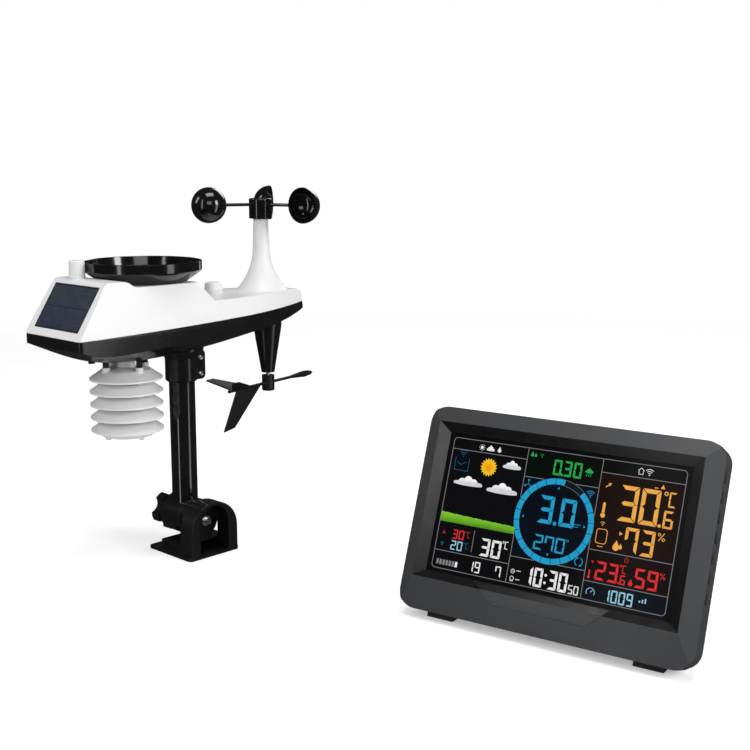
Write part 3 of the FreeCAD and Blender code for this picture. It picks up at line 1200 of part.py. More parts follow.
def fold_out_stand():
    """The rear foot, hinged low on the back; it swings up into its recess."""
    plate = padded("stand_plate", rounded("-stand_half", "stand_half", 0, "stand_reach", "stand_corner"),
                   "XZ", "stand_thick", (0, "stand_thick / 2", 0))
    window = padded("stand_window", rounded("14 - stand_half", "stand_half - 14", 12,
                                            "stand_reach - 12", "stand_corner"),
                    "XZ", "stand_thick + 2", (0, "stand_thick / 2 + 1", 0))
    knuckle = cylinder("stand_knuckle_round", "stand_knuckle", "2 * stand_half", ("-stand_half", 0, 0), "X")
    bore = cylinder("stand_bore", "pin_radius + pin_gap", "2 * pin_half", ("-pin_half", 0, 0), "X")
    leg = cut("stand", fuse("stand_solid", cut("stand_frame", plate, window), knuckle), bore)
    hinge = (0, "stand_hinge_y * cos(console_lean) + stand_hinge_z * sin(console_lean)",
             "(foot_low + stand_hinge_z) * cos(console_lean) - stand_hinge_y * sin(console_lean)")
    rotate(leg, (-1, 0, 0), "console_lean + stand_open", hinge)
    keep("fold_out_stand", face_room(leg))
    keep("stand_pin", stand_up(group("pin", cylinder(
        "pin_rod", "pin_radius", "2 * pin_half", ("-pin_half", "stand_hinge_y", "stand_hinge_z"), "X"))))


def console():
    front_bezel()
    display()
    side_buttons()
    rear_cover()
    cover_screws()
    console_small_parts()
    fold_out_stand()


# ---------------------------------------------------------------- build, check and write

def check_and_write():
    """Refuses a failed object or an unsound shape, then writes each sub-part to its own file."""
    doc.recompute()
    failed = [item.Name for item in doc.Objects if {"Invalid", "Error"} & set(item.State)]
    unsound = [name for name, piece in pieces.items() if piece.Shape.isNull() or not piece.Shape.isValid()]
    if failed or unsound:
        raise RuntimeError("failed: %s; unsound: %s" % (failed, unsound))
    os.makedirs("parts", exist_ok=True)
    for name, piece in pieces.items():
        piece.Shape.exportStep(os.path.join("parts", name + ".step"))
    print("wrote %d sub-parts" % len(pieces))


outdoor_unit()
console()
check_and_write()
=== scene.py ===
"""Looks of the home weather station: its plastics, metals and solar cell, and the colour display.

Metres in the CAD frame: +Z up, with the sensor's nose facing -Y, and the console's screen facing -Y but
turned 10 degrees towards +X and leaning back.
Screen layout is in millimetres, across from the left and down from the top of the printed area.
"""
import math

import bmesh
import bpy
from mathutils import Matrix, Vector


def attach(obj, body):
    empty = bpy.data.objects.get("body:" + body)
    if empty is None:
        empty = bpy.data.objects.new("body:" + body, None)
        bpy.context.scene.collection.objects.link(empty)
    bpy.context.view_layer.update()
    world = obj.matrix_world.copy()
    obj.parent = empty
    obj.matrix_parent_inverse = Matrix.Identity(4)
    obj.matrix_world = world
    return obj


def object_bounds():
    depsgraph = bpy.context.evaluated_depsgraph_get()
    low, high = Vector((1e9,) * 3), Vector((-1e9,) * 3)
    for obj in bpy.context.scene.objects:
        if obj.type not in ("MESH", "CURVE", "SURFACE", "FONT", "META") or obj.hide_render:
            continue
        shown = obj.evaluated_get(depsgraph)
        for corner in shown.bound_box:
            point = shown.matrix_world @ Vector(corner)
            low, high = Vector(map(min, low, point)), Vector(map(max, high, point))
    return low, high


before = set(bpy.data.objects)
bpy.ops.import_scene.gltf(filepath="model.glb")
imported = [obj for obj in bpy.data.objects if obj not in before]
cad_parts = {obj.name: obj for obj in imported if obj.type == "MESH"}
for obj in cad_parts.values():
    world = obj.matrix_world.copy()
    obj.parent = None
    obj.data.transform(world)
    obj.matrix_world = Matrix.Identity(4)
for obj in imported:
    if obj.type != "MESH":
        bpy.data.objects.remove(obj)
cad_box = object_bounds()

MM = 0.001
UP = Vector((0, 0, 1))


# ---------------------------------------------------------------- shader building

def linear(red, green, blue):
    """A display colour, 0 to 255, as the linear colour that shaders use."""
    parts = []
    for part in (red, green, blue):
        share = part / 255
        parts.append(share / 12.92 if share <= 0.04045 else ((share + 0.055) / 1.055) ** 2.4)
    return (*parts, 1)


class Shader:
    """A node material: each call adds one node, and inputs are plain values or other nodes' outputs."""

    def __init__(self, name):
        self.material = bpy.data.materials.new(name)
        self.material.use_nodes = True
        self.tree = self.material.node_tree
        self.tree.nodes.clear()

    def node(self, kind, inputs=None, **settings):
        made = self.tree.nodes.new("ShaderNode" + kind)
        for setting, item in settings.items():
            setattr(made, setting, item)
        for socket, item in (inputs or {}).items():
            if isinstance(item, bpy.types.NodeSocket):
                self.tree.links.new(item, made.inputs[socket])
            else:
                made.inputs[socket].default_value = item
        return made

    def place(self):
        return self.node("TexCoord").outputs["Object"]

    def noise(self, scale, detail=3, rough=0.5, where=None):
        made = self.node("TexNoise", {"Vector": where or self.place(), "Scale": scale,
                                      "Detail": detail, "Roughness": rough})
        return made.outputs["Fac"]

    def spread(self, source, low, high, start=0.0, end=1.0):
        made = self.node("MapRange", {"Value": source, "From Min": start, "From Max": end,
                                      "To Min": low, "To Max": high})
        return made.outputs["Result"]

    def maths(self, operation, first, second=0.0):
        return self.node("Math", {0: first, 1: second}, operation=operation).outputs[0]

    def mix(self, share, first, second):
        made = self.node("Mix", {0: share, 6: first, 7: second}, data_type="RGBA")
        return made.outputs[2]

    def worn_edges(self, radius, noise_scale):
        """1 on sharp edges, broken up by noise, and 0 on flat faces."""
        round_normal = self.node("Bevel", {"Radius": radius}, samples=4).outputs["Normal"]
        flat_normal = self.node("NewGeometry").outputs["Normal"]
        turned = self.node("VectorMath", {0: round_normal, 1: flat_normal}, operation="DOT_PRODUCT")
        edge = self.spread(turned.outputs["Value"], 1.0, 0.0, 0.86, 0.985)
        patch = self.spread(self.noise(noise_scale, 4), 0.0, 1.0, 0.42, 0.66)
        return self.maths("MULTIPLY", edge, patch)

    def bump(self, height, strength, distance, normal=None):
        inputs = {"Height": height, "Strength": strength, "Distance": distance}
        if normal:
            inputs["Normal"] = normal
        return self.node("Bump", inputs).outputs["Normal"]

    def finish(self, **surface):
        """The principled surface, with spaces in socket names written as underscores."""
        inputs = {name.replace("_", " "): item for name, item in surface.items()}
        shade = self.node("BsdfPrincipled", inputs)
        self.node("OutputMaterial", {"Surface": shade.outputs["BSDF"]})
        return self.material


def moulded(name, colour, rough, tone=0.06, grain=0.25, grain_size=0.35 * MM, worn=None,
            worn_share=0.5, edge=0.45 * MM, coat=0.0, shine=0.5):
    """Moulded plastic: slow colour drift, a fine spark-eroded grain, smudges and rubbed edges."""
    s = Shader(name)
    dark = tuple(part * (1 - tone) for part in colour[:3]) + (1,)
    light = tuple(min(1, part * (1 + tone)) for part in colour[:3]) + (1,)
    drift = s.spread(s.noise(22, 4), 0, 1, 0.3, 0.7)
    base = s.mix(drift, dark, light)
    if worn:
        rubbed = s.maths("MULTIPLY", s.worn_edges(edge, 90), worn_share)
        base = s.mix(rubbed, base, worn)
    smudge = s.noise(55, 5, 0.65)
    fine = s.noise(1 / grain_size, 2)
    roughness = s.maths("ADD", s.spread(smudge, rough - 0.03, rough + 0.05, 0.3, 0.7),
                        s.spread(fine, -0.015, 0.015, 0.3, 0.7))
    rounded = s.node("Bevel", {"Radius": edge}, samples=4).outputs["Normal"]
    normal = s.bump(fine, grain, 0.03 * MM, rounded)
    return s.finish(Base_Color=base, Roughness=roughness, Normal=normal, Coat_Weight=coat,
                    Coat_Roughness=0.06, Specular_IOR_Level=shine)


def framed_with_painted_shade(name, colour, rough, middle, axes, half_wide, half_high):
    """Moulded plastic whose inner slope, within a rectangle about a middle, is polished, and painted
    near-black as shade.
    """
    s = Shader(name)
    offset = s.node("VectorMath", {0: s.place(), 1: middle}, operation="SUBTRACT").outputs["Vector"]

    def beyond(direction, half):
        along = s.node("VectorMath", {0: offset, 1: direction}, operation="DOT_PRODUCT").outputs["Value"]
        return s.maths("GREATER_THAN", s.maths("ABSOLUTE", along), half)

    outside = s.maths("MAXIMUM", beyond(axes[0], half_wide), beyond(axes[1], half_high))
    drift = s.spread(s.noise(22, 4), 0, 1, 0.3, 0.7)
    satin = s.mix(drift, tuple(part * 0.95 for part in colour[:3]) + (1,), colour)
    worn = s.maths("MULTIPLY", s.worn_edges(0.5 * MM, 90), 0.3)
    satin = s.mix(worn, satin, (0.13, 0.13, 0.135, 1))
    # Within the ridge's rectangle the colour is painted near-black: painted shade on the bezel's inner
    # slope.
    base = s.mix(outside, (0.006, 0.006, 0.0065, 1), satin)
    fine = s.noise(2500, 2)
    smudge = s.spread(s.noise(55, 5, 0.65), rough - 0.03, rough + 0.05, 0.3, 0.7)
    polish = s.spread(s.noise(80, 4), 0.2, 0.27, 0.3, 0.7)
    share = s.maths("MULTIPLY", outside, s.maths("SUBTRACT", smudge, polish))
    rounded = s.node("Bevel", {"Radius": 0.5 * MM}, samples=4).outputs["Normal"]
    grain = s.bump(s.maths("MULTIPLY", fine, outside), 0.2, 0.03 * MM, rounded)
    return s.finish(Base_Color=base, Roughness=s.maths("ADD", polish, share), Normal=grain,
                    Specular_IOR_Level=0.45)


def metal(name, colour, rough, stretch=(1, 1, 1), grain=0.3):
    """Plated or drawn metal, with fine scratches that a stretch draws out along one direction."""
    s = Shader(name)
    where = s.node("Mapping", {"Vector": s.place(), "Scale": stretch}).outputs["Vector"]
    scratch = s.noise(1600, 3, 0.6, where)
    tarnish = s.spread(s.noise(140, 4), 0, 1, 0.35, 0.75)
    dull = tuple(part * 0.72 for part in colour[:3]) + (1,)
    base = s.mix(tarnish, colour, dull)
    roughness = s.spread(scratch, rough - 0.08, rough + 0.12, 0.3, 0.7)
    rounded = s.node("Bevel", {"Radius": 0.2 * MM}, samples=4).outputs["Normal"]
    normal = s.bump(scratch, grain, 0.03 * MM, rounded)
    return s.finish(Base_Color=base, Metallic=1.0, Roughness=roughness, Normal=normal)


def rubber(name):
    s = Shader(name)
    fine = s.noise(1800, 4, 0.7)
    base = s.mix(s.noise(60, 3), (0.012, 0.012, 0.013, 1), (0.028, 0.028, 0.029, 1))
    roughness = s.spread(fine, 0.7, 0.95)
    return s.finish(Base_Color=base, Roughness=roughness, Normal=s.bump(fine, 0.4, 0.1 * MM))


def circuit_board(name):
    """Green solder mask over a faint grid of tracks."""
    s = Shader(name)
    tracks = s.node("TexBrick", {"Vector": s.place(), "Scale": 240.0, "Mortar Size": 0.03,
                                 "Color1": (0.012, 0.11, 0.035, 1), "Color2": (0.016, 0.14, 0.045, 1),
                                 "Mortar": (0.03, 0.24, 0.08, 1)})
    normal = s.bump(tracks.outputs["Fac"], 0.3, 0.05 * MM)
    return s.finish(Base_Color=tracks.outputs["Color"], Roughness=s.spread(s.noise(300), 0.28, 0.45),
                    Normal=normal)


def cell_wrap(name):
    """The foil sleeve of a dry cell, with slow drifts of colour."""
    s = Shader(name)
    base = s.mix(s.spread(s.noise(30, 2), 0, 1, 0.3, 0.7), (0.03, 0.06, 0.12, 1), (0.045, 0.08, 0.15, 1))
    return s.finish(Base_Color=base, Metallic=0.6, Roughness=s.spread(s.noise(200, 3), 0.25, 0.42),
                    Normal=s.bump(s.noise(900), 0.15, 0.05 * MM))


def solar_cells(name, across, up, centre, pitch):
    """Dark silicon under clear resin, crossed by fine silver fingers, with a painted sheen towards the
    top.
    """
    s = Shader(name)
    offset = s.node("VectorMath", {0: s.place(), 1: centre}, operation="SUBTRACT").outputs["Vector"]

    def distance(direction):
        return s.node("VectorMath", {0: offset, 1: direction}, operation="DOT_PRODUCT").outputs["Value"]

    steps = s.maths("MULTIPLY", distance(across), 1 / pitch)
    from_line = s.maths("ABSOLUTE", s.maths("SUBTRACT", s.maths("FRACT", steps), 0.5))
    finger = s.spread(from_line, 0.0, 0.55, 0.44, 0.485)
    grains = s.node("TexVoronoi", {"Vector": s.place(), "Scale": 160.0}).outputs["Color"]
    patch = s.node("SeparateColor", {"Color": grains}).outputs["Red"]
    silicon = s.mix(patch, (0.02, 0.024, 0.045, 1), (0.025, 0.03, 0.054, 1))
    # Lighter and bluer towards the panel's top: painted sheen.
    drift = s.mix(s.spread(distance(up), 0, 1, -0.02, 0.02), silicon, (0.03, 0.036, 0.05, 1))
    base = s.mix(finger, drift, (0.06, 0.065, 0.09, 1))
    roughness = s.spread(s.noise(120, 4), 0.2, 0.34, 0.3, 0.7)
    normal = s.bump(s.noise(60, 2), 0.1, 0.3 * MM)
    return s.finish(Base_Color=base, Roughness=roughness, Normal=normal, Coat_Weight=0.6,
                    Coat_Roughness=0.12, Specular_IOR_Level=0.4)


def dark_glass(name):
    """The unlit display: nearly black glass with a very faint mesh of electrodes."""
    s = Shader(name)
    mesh = s.node("TexBrick", {"Vector": s.place(), "Scale": 900.0, "Mortar Size": 0.02,
                               "Color1": (0.0035, 0.0035, 0.004, 1), "Color2": (0.004, 0.004, 0.0045, 1),
                               "Mortar": (0.007, 0.007, 0.008, 1)})
    roughness = s.spread(s.noise(90, 4), 0.08, 0.13, 0.3, 0.7)
    return s.finish(Base_Color=mesh.outputs["Color"], Roughness=roughness, Specular_IOR_Level=0.02,
                    Normal=s.bump(s.noise(40, 2), 0.04, 0.2 * MM))


def lit(name, colour, strength=1.0, second=None, direction=(0, 1, 0), size=None):
    """A lit segment: its light varies a little, and may run from one colour to a second."""
    s = Shader(name)
    where = s.place()
    if second:
        if direction:
            run = s.node("VectorMath", {0: where, 1: direction}, operation="DOT_PRODUCT").outputs["Value"]
            share = s.spread(run, 0, 1, -size, size)
        else:
            reach = s.node("VectorMath", {0: where}, operation="LENGTH").outputs["Value"]
            share = s.spread(reach, 0, 1, 0, size)
        colour = s.mix(share, colour, second)
    uneven = s.spread(s.noise(130, 3), 0, 0.14, 0.3, 0.7)
    glow = s.mix(uneven, colour, (0, 0, 0, 1))
    return s.finish(Base_Color=(0.002, 0.002, 0.002, 1), Roughness=s.spread(s.noise(200), 0.12, 0.18),
                    Specular_IOR_Level=0.02, Emission_Color=glow, Emission_Strength=strength)


# ---------------------------------------------------------------- finishes of the CAD nodes

WHITE = (0.70, 0.705, 0.70, 1)
BLACK = (0.0065, 0.0062, 0.006, 1)
GREY = (0.039, 0.0405, 0.043, 1)

FINISHES = {
    "white_abs": (moulded("white_abs", WHITE, 0.38, tone=0.012, grain=0.1, worn=(0.62, 0.617, 0.6, 1),
                          worn_share=0.25, edge=0.9 * MM, shine=0.4),
                  "upper_shell antenna_post light_sensor_dome shield_roof shield_plates tipping_bucket"),
    "black_hull": (moulded("black_hull", BLACK, 0.24, tone=0.2, grain=0.08, worn=(0.022, 0.022, 0.022, 1),
                           worn_share=0.3, edge=0.7 * MM, shine=0.35),
                   "lower_shell battery_door vane_housing reset_button"),
    "black_gloss": (moulded("black_gloss", (0.004, 0.004, 0.0043, 1), 0.12, tone=0.2, grain=0.02,
                            worn=(0.02, 0.02, 0.02, 1), worn_share=0.25, edge=0.35 * MM, coat=0.25,
                            shine=0.45),
                    "rain_funnel cup_rotor"),
    "black_mast": (moulded("black_mast", (0.0055, 0.0053, 0.005, 1), 0.14, tone=0.2, grain=0.03,
                           worn=(0.03, 0.03, 0.03, 1), worn_share=0.3, coat=0.3, shine=0.5), "mast_tube"),
    "black_bracket": (moulded("black_bracket", (0.007, 0.0067, 0.0066, 1), 0.2, tone=0.2, grain=0.1,
                              grain_size=0.5 * MM, worn=(0.04, 0.039, 0.038, 1), worn_share=0.4,
                              edge=0.7 * MM, shine=0.5),
                      "mounting_bracket clamp_knob mast_foot mast_collar shield_standoffs debris_screen "
                      "rain_chamber dc_jack"),
    "black_vane": (moulded("black_vane", (0.008, 0.0078, 0.0077, 1), 0.45, tone=0.2, grain=0.25,
                           worn=(0.035, 0.035, 0.035, 1), edge=0.5 * MM, shine=0.35), "wind_vane"),
    "bright_steel": (metal("bright_steel", (0.78, 0.78, 0.79, 1), 0.2),
                     "pivot_bolt collar_screws shell_screws bucket_axle rotor_shaft vane_shaft stand_pin "
                     "cover_screws"),
    "drawn_brass": (metal("drawn_brass", (0.62, 0.46, 0.2, 1), 0.28, (1, 1, 0.05)),
                    "rotor_bearings vane_bearings battery_contacts"),
    "sintered": (metal("sintered", (0.2, 0.2, 0.21, 1), 0.5, grain=0.8),
                 "bucket_magnet rotor_magnet vane_magnet"),
    "soft_rubber": (rubber("soft_rubber"), "shell_seal rubber_feet"),
    "board_green": (circuit_board("board_green"),
                    "rain_sensor_board wind_speed_board wind_direction_board th_sensor_board main_board "
                    "console_board"),
    "cell_wrap": (cell_wrap("cell_wrap"), "battery_cells console_cells"),
    "console_grey": (moulded("console_grey", GREY, 0.4, tone=0.05, grain=0.2, grain_size=0.4 * MM,
                             worn=(0.13, 0.13, 0.135, 1), worn_share=0.3, edge=0.5 * MM, shine=0.4),
                     "rear_cover console_battery_door fold_out_stand"),
    "button_grey": (moulded("button_grey", (0.03, 0.031, 0.033, 1), 0.4, tone=0.1, grain=0.3,
                            worn=(0.14, 0.14, 0.14, 1), worn_share=0.5),
                    " ".join("button_%d" % number for number in range(1, 8))),
    "light_guide": (moulded("light_guide", (0.75, 0.77, 0.8, 1), 0.25, tone=0.03), "backlight_panel"),
    "dark_glass": (dark_glass("dark_glass"), "lcd_panel"),
}


def dress(node, material):
    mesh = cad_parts[node].data
    mesh.materials.clear()
    mesh.materials.append(material)


for material, names in FINISHES.values():
    for node in names.split():
        dress(node, material)


# ---------------------------------------------------------------- flat faces and printed shapes

def face_frame(node, facing):
    """The flat face of a CAD node that looks most nearly along facing: its frame, with X across, Y up
    the face and Z out of it from the face's centre, and its width and height."""
    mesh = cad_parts[node].data
    widest = max(mesh.polygons, key=lambda face: face.area * max(0, face.normal.dot(facing)))
    out = widest.normal.copy()
    across = UP.cross(out).normalized()
    up = out.cross(across)
    level = out.dot(mesh.vertices[widest.vertices[0]].co)
    spots = [v.co for v in mesh.vertices if abs(out.dot(v.co) - level) < 0.02 * MM]
    sides = [(min(axis.dot(p) for p in spots), max(axis.dot(p) for p in spots)) for axis in (across, up)]
    centre = across * (sum(sides[0]) / 2) + up * (sum(sides[1]) / 2) + out * level
    turn = Matrix((across, up, out)).transposed().to_4x4()
    return Matrix.Translation(centre) @ turn, sides[0][1] - sides[0][0], sides[1][1] - sides[1][0]


class Print:
    """Thin closed plates that lie on a face.  Points are in millimetres, across and up."""

    def __init__(self):
        self.mesh = bmesh.new()

    def corner(self, point, height):
        return self.mesh.verts.new((point[0] * MM, point[1] * MM, height * MM))

    def plate(self, points, top, bottom):
        """A plate with any outline, anticlockwise."""
        area = sum(a[0] * b[1] - b[0] * a[1] for a, b in zip(points, points[1:] + points[:1]))
        if area < 0:
            points = points[::-1]
        upper = [self.corner(p, top) for p in points]
        lower = [self.corner(p, bottom) for p in points]
        self.mesh.faces.new(upper)
        self.mesh.faces.new(lower[::-1])
        for index in range(len(points)):
            after = (index + 1) % len(points)
            self.mesh.faces.new((lower[index], lower[after], upper[after], upper[index]))

    def strip(self, left, right, top, bottom, closed=False):
        """A plate between two matching lines: left is on the left hand along the way."""
        rows = [(self.corner(a, top), self.corner(b, top), self.corner(b, bottom), self.corner(a, bottom))
                for a, b in zip(left, right)]
        count = len(rows)
        for index in range(count if closed else count - 1):
            here, there = rows[index], rows[(index + 1) % count]
            for side in range(4):
                after = (side + 1) % 4
                self.mesh.faces.new((here[side], here[after], there[after], there[side]))
        if not closed:
            self.mesh.faces.new(rows[0][::-1])
            self.mesh.faces.new(rows[-1])

    def line(self, points, width, top, bottom, closed=False):
        """A line of even width, mitred at its corners."""
        left, right = [], []
        count = len(points)
        for index, point in enumerate(points):
            before = points[index - 1] if index or closed else None
            after = points[(index + 1) % count] if index < count - 1 or closed else None
            ways = [Vector(b) - Vector(a) for a, b in ((before, point), (point, after)) if a and b]
            ways = [way.normalized() for way in ways]
            mean = sum(ways, Vector((0, 0))).normalized()
            reach = width / 2 / max(0.3, mean.dot(ways[0]))
            side = Vector((-mean.y, mean.x)) * reach
            left.append((point[0] + side.x, point[1] + side.y))
            right.append((point[0] - side.x, point[1] - side.y))
        self.strip(left, right, top, bottom, closed)

    def piece(self, name, material, place, body):
        bmesh.ops.recalc_face_normals(self.mesh, faces=self.mesh.faces)
        data = bpy.data.meshes.new(name)
        self.mesh.to_mesh(data)
        self.mesh.free()
        data.materials.append(material)
        made = bpy.data.objects.new(name, data)
        bpy.context.scene.collection.objects.link(made)
        made.matrix_world = place
        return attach(made, body)


def arc(centre, radius, start, end, steps):
    """Points along an arc, in degrees clockwise from straight up."""
    points = []
    for step in range(steps + 1):
        angle = math.radians(start + (end - start) * step / steps)
        points.append((centre[0] + radius * math.sin(angle), centre[1] + radius * math.cos(angle)))
    return points


def round_box(left, right, low, high, radius, steps=5):
    points = []
    for x, y, start in ((right - radius, high - radius, 0), (right - radius, low + radius, 90),
                        (left + radius, low + radius, 180), (left + radius, high - radius, 270)):
        points += arc((x, y), radius, start, start + 90, steps)
    return points


# ---------------------------------------------------------------- solar panel's printed lines

panel_place, panel_wide, panel_high = face_frame("solar_panel", Vector((0, -1, 0.6)))
panel_axes = panel_place.to_3x3().transposed()
dress("solar_panel", solar_cells("solar_cells", panel_axes[0], panel_axes[1],
                                 panel_place.translation, 2.1 * MM))


def solar_lines():
    """The gap between the two rows of cells, their bus bars and the dark edge of the laminate."""
    half_wide, half_high = panel_wide / MM / 2, panel_high / MM / 2
    from_row, end_gap, edge, sunk = 4.2, 3, 0.9, -0.05
    bars = Print()
    for row in (-half_high * 0.5, half_high * 0.5):
        for height in (row - from_row, row + from_row):
            bars.line([(-half_wide + end_gap, height), (half_wide - end_gap, height)], 0.35, 0.04, sunk)
    silver = metal("bus_silver", (0.17, 0.18, 0.2, 1), 0.35, (0.05, 1, 1))
    bars.piece("solar_bus_bars", silver, panel_place, "head")
    border = Print()
    border.line(round_box(-half_wide + edge, half_wide - edge, -half_high + edge, half_high - edge, 0.6),
                1.5, 0.06, sunk, closed=True)
    border.line([(-half_wide + 1.5, 0), (half_wide - 1.5, 0)], 0.7, 0.05, sunk)
    black = moulded("laminate_black", (0.012, 0.013, 0.018, 1), 0.25, tone=0.2, grain=0.1)
    border.piece("solar_laminate_edge", black, panel_place, "head")


solar_lines()


# ---------------------------------------------------------------- bezel around the display

lcd_place, lcd_wide, lcd_high = face_frame("lcd_panel", Vector((0.17, -0.93, 0.34)))
lcd_axes = lcd_place.to_3x3().transposed()
# The ridge between the bezel's outer and inner slopes, and the glass's middle, up the console's face.
RIDGE_HALF_WIDE, RIDGE_LOW, RIDGE_HIGH, GLASS_MIDDLE = 121.0, 29.0, 167.7, 97.3
ridge_middle = lcd_place.translation + lcd_axes[1] * ((RIDGE_LOW + RIDGE_HIGH) / 2 - GLASS_MIDDLE) * MM
# The bezel's inner slope, inside the ridge, is painted near-black as shade.
dress("front_bezel", framed_with_painted_shade("bezel_grey", GREY, 0.4, ridge_middle, lcd_axes, RIDGE_HALF_WIDE * MM,
                            (RIDGE_HIGH - RIDGE_LOW) / 2 * MM))


# ---------------------------------------------------------------- display

EDGE_ACROSS, EDGE_UP = 7.3, 6.5
WIDE = lcd_wide / MM - 2 * EDGE_ACROSS
HIGH = lcd_high / MM - 2 * EDGE_UP
LEFT_LINE, RIGHT_LINE = 0.343 * WIDE, 0.6645 * WIDE
TITLE, RAIN_ROW, SCENE_END, LOW_ROW = 10.6, 24.6, 75.1, 100.6
TIME_ROW = 93.3
TINT_TOP, LINE_TOP, INK_TOP, SUNK = 0.03, 0.07, 0.1, -0.02

INKS = {
    "white": linear(236, 238, 236), "orange": linear(240, 172, 74), "red": linear(222, 46, 46),
    "cyan": linear(34, 158, 204), "green": linear(40, 170, 84), "ice": linear(150, 206, 226),
    "blue": linear(16, 84, 120), "faint": linear(128, 130, 132), "dim_red": linear(150, 44, 40),
}
ink_materials = {name: lit("lit_" + name, colour) for name, colour in INKS.items()}
prints = {name: Print() for name in INKS}


def on_screen(x, down):
    """A place on the printed area, as across and up from the display's centre."""
    return x - WIDE / 2, HIGH / 2 - down


def show(printed, name, material, place=lcd_place):
    printed.piece("display_" + name, material, place, "console")


def shape(ink, points):
    prints[ink].plate([on_screen(*p) for p in points], INK_TOP, SUNK)


def stroke(ink, points, width, top=INK_TOP, closed=False):
    prints[ink].line([on_screen(*p) for p in points], width, top, SUNK, closed)


# Segments are named clockwise from the top: a, b, c, d, e, f, with g across the middle.
SEGMENTS = {
    "0": "abcdef", "1": "bc", "2": "abged", "3": "abgcd", "4": "fgbc", "5": "afgcd", "6": "afgedc",
    "7": "abcf", "8": "abcdefg", "9": "abfgcd", "C": "afed",
}


def segment_outline(segment, width, height, bar):
    """The corners of one bar of a digit, across and down from the digit's top left."""
    middle, gap = height / 2, bar * 0.13
    upright = [(0, gap), (0, middle - gap / 2), (bar / 2, middle - gap / 2),
               (bar, middle - bar / 2 - gap / 2), (bar, bar + gap)]
    if segment == "a":
        return [(gap, 0), (width - gap, 0), (width - bar - gap, bar), (bar + gap, bar)]
    if segment == "d":
        return [(x, height - y) for x, y in segment_outline("a", width, height, bar)]
    if segment == "g":
        return [(bar / 2 + gap, middle), (bar + gap, middle - bar / 2),
                (width - bar - gap, middle - bar / 2), (width - bar / 2 - gap, middle),
                (width - bar - gap, middle + bar / 2), (bar + gap, middle + bar / 2)]
    if segment in "be":
        upright = [(width - x, y) for x, y in upright] if segment == "b" else \
            [(x, height - y) for x, y in upright]
    if segment == "c":
        upright = [(width - x, height - y) for x, y in upright]
    return upright


def digits(ink, text, left, top, height, width, gap, bar=None):
    """A row of seven-bar digits.  A point takes no width, and a colon takes a narrow cell."""
    bar = bar or width * 0.24
    for mark in text:
        if mark == ".":
            dot = bar * 0.62
            shape(ink, round_down(left - gap / 2, top + height - dot, dot))
            continue
        if mark == ":":
            for share in (0.3, 0.7):
                shape(ink, round_down(left + bar * 0.5, top + height * share, bar * 0.55))
            left += bar + gap
            continue
        for segment in SEGMENTS[mark]:
            shape(ink, [(left + x, top + y) for x, y in segment_outline(segment, width, height, bar)])
        left += width + gap
    return left


def round_down(x, down, radius, steps=14):
    """A circle's corners, in screen places."""
    return [(x + radius * math.cos(math.tau * k / steps), down + radius * math.sin(math.tau * k / steps))
            for k in range(steps)]


def bow(x, down, radius, start, end, step):
    """Places along an arc about a centre, in degrees clockwise from straight up; end is left out."""
    return [(x + radius * math.sin(math.radians(a)), down - radius * math.cos(math.radians(a)))
            for a in range(start, end, step)]


def celsius(ink, left, top, height):
    ring = round_down(left + height * 0.13, top + height * 0.14, height * 0.11, 16)
    stroke(ink, ring, height * 0.07, closed=True)
    digits(ink, "C", left + height * 0.36, top, height, height * 0.5, 0, height * 0.11)


def per_cent(ink, left, top, size):
    for x, down in ((0.2, 0.22), (0.76, 0.78)):
        ring = round_down(left + size * x, top + size * down, size * 0.15)
        stroke(ink, ring, size * 0.09, closed=True)
    stroke(ink, [(left + size * 0.16, top + size), (left + size * 0.8, top)], size * 0.11)


def drop(ink, x, top, height):
    """A water drop: a point above a round foot."""
    radius = height * 0.32
    middle = top + height - radius
    foot = [(x + radius * math.sin(math.radians(a)), middle + radius * math.cos(math.radians(a)))
            for a in range(-118, 119, 18)]
    shape(ink, [(x, top)] + foot[::-1])


def thermometer(ink, x, top, height):
    bulb = height * 0.16
    shape(ink, round_down(x, top + height - bulb, bulb))
    stem = height * 0.09
    crown = [(x + stem * math.cos(math.radians(a)), top + stem - stem * math.sin(math.radians(a)))
             for a in range(0, 181, 30)]
    foot = top + height - 2.05 * bulb
    shape(ink, [(x + stem, foot)] + crown + [(x - stem, foot)])


def waves(ink, x, foot, size, count=3):
    """Radio waves that open upwards from a dot."""
    shape(ink, round_down(x, foot, size * 0.09, 10))
    for number in range(1, count + 1):
        stroke(ink, bow(x, foot, size * 0.28 * number, -42, 43, 12), size * 0.09)


def house(ink, left, top, size):
    """A pitched roof over a plain box, drawn in outline."""
    stroke(ink, [(left, top + size * 0.42), (left + size / 2, top), (left + size, top + size * 0.42)],
           size * 0.09)
    stroke(ink, [(left + size * 0.16, top + size * 0.44), (left + size * 0.16, top + size),
                 (left + size * 0.84, top + size), (left + size * 0.84, top + size * 0.44)], size * 0.08)


def triangle(ink, x, down, size, turn):
    """A small filled triangle, pointing up and then turned clockwise."""
    points = []
    for corner in (0, 120, 240):
        angle = math.radians(corner + turn)
        points.append((x + size * math.sin(angle), down - size * math.cos(angle)))
    shape(ink, points)


def cloud_points(width, height):
    """A cloud's outline about its own centre: the upper edge of five puffs, and a soft flat foot."""
    puffs = ((-0.36, 0.14, 0.3), (-0.2, 0.15, 0.66), (0.0, 0.17, 0.98), (0.19, 0.14, 0.7),
             (0.35, 0.15, 0.36))
    steps = 48
    top, foot = [], []
    for step in range(steps + 1):
        share = step / steps - 0.5
        lift = 0.0
        for middle, reach, rise in puffs:
            inside = 1 - ((share - middle) / reach) ** 2
            if inside > 0:
                lift = max(lift, rise * math.sqrt(inside))
        top.append((share * width, (lift * 0.9 - 0.38) * height))
        foot.append((share * width, (-0.38 - 0.16 * math.sqrt(max(0, 1 - (2 * share) ** 2))) * height))
    top = [p for p in top if p[1] > -0.3799 * height]
    foot = [p for p in foot if top[0][0] <= p[0] <= top[-1][0]]
    return foot + top[::-1]


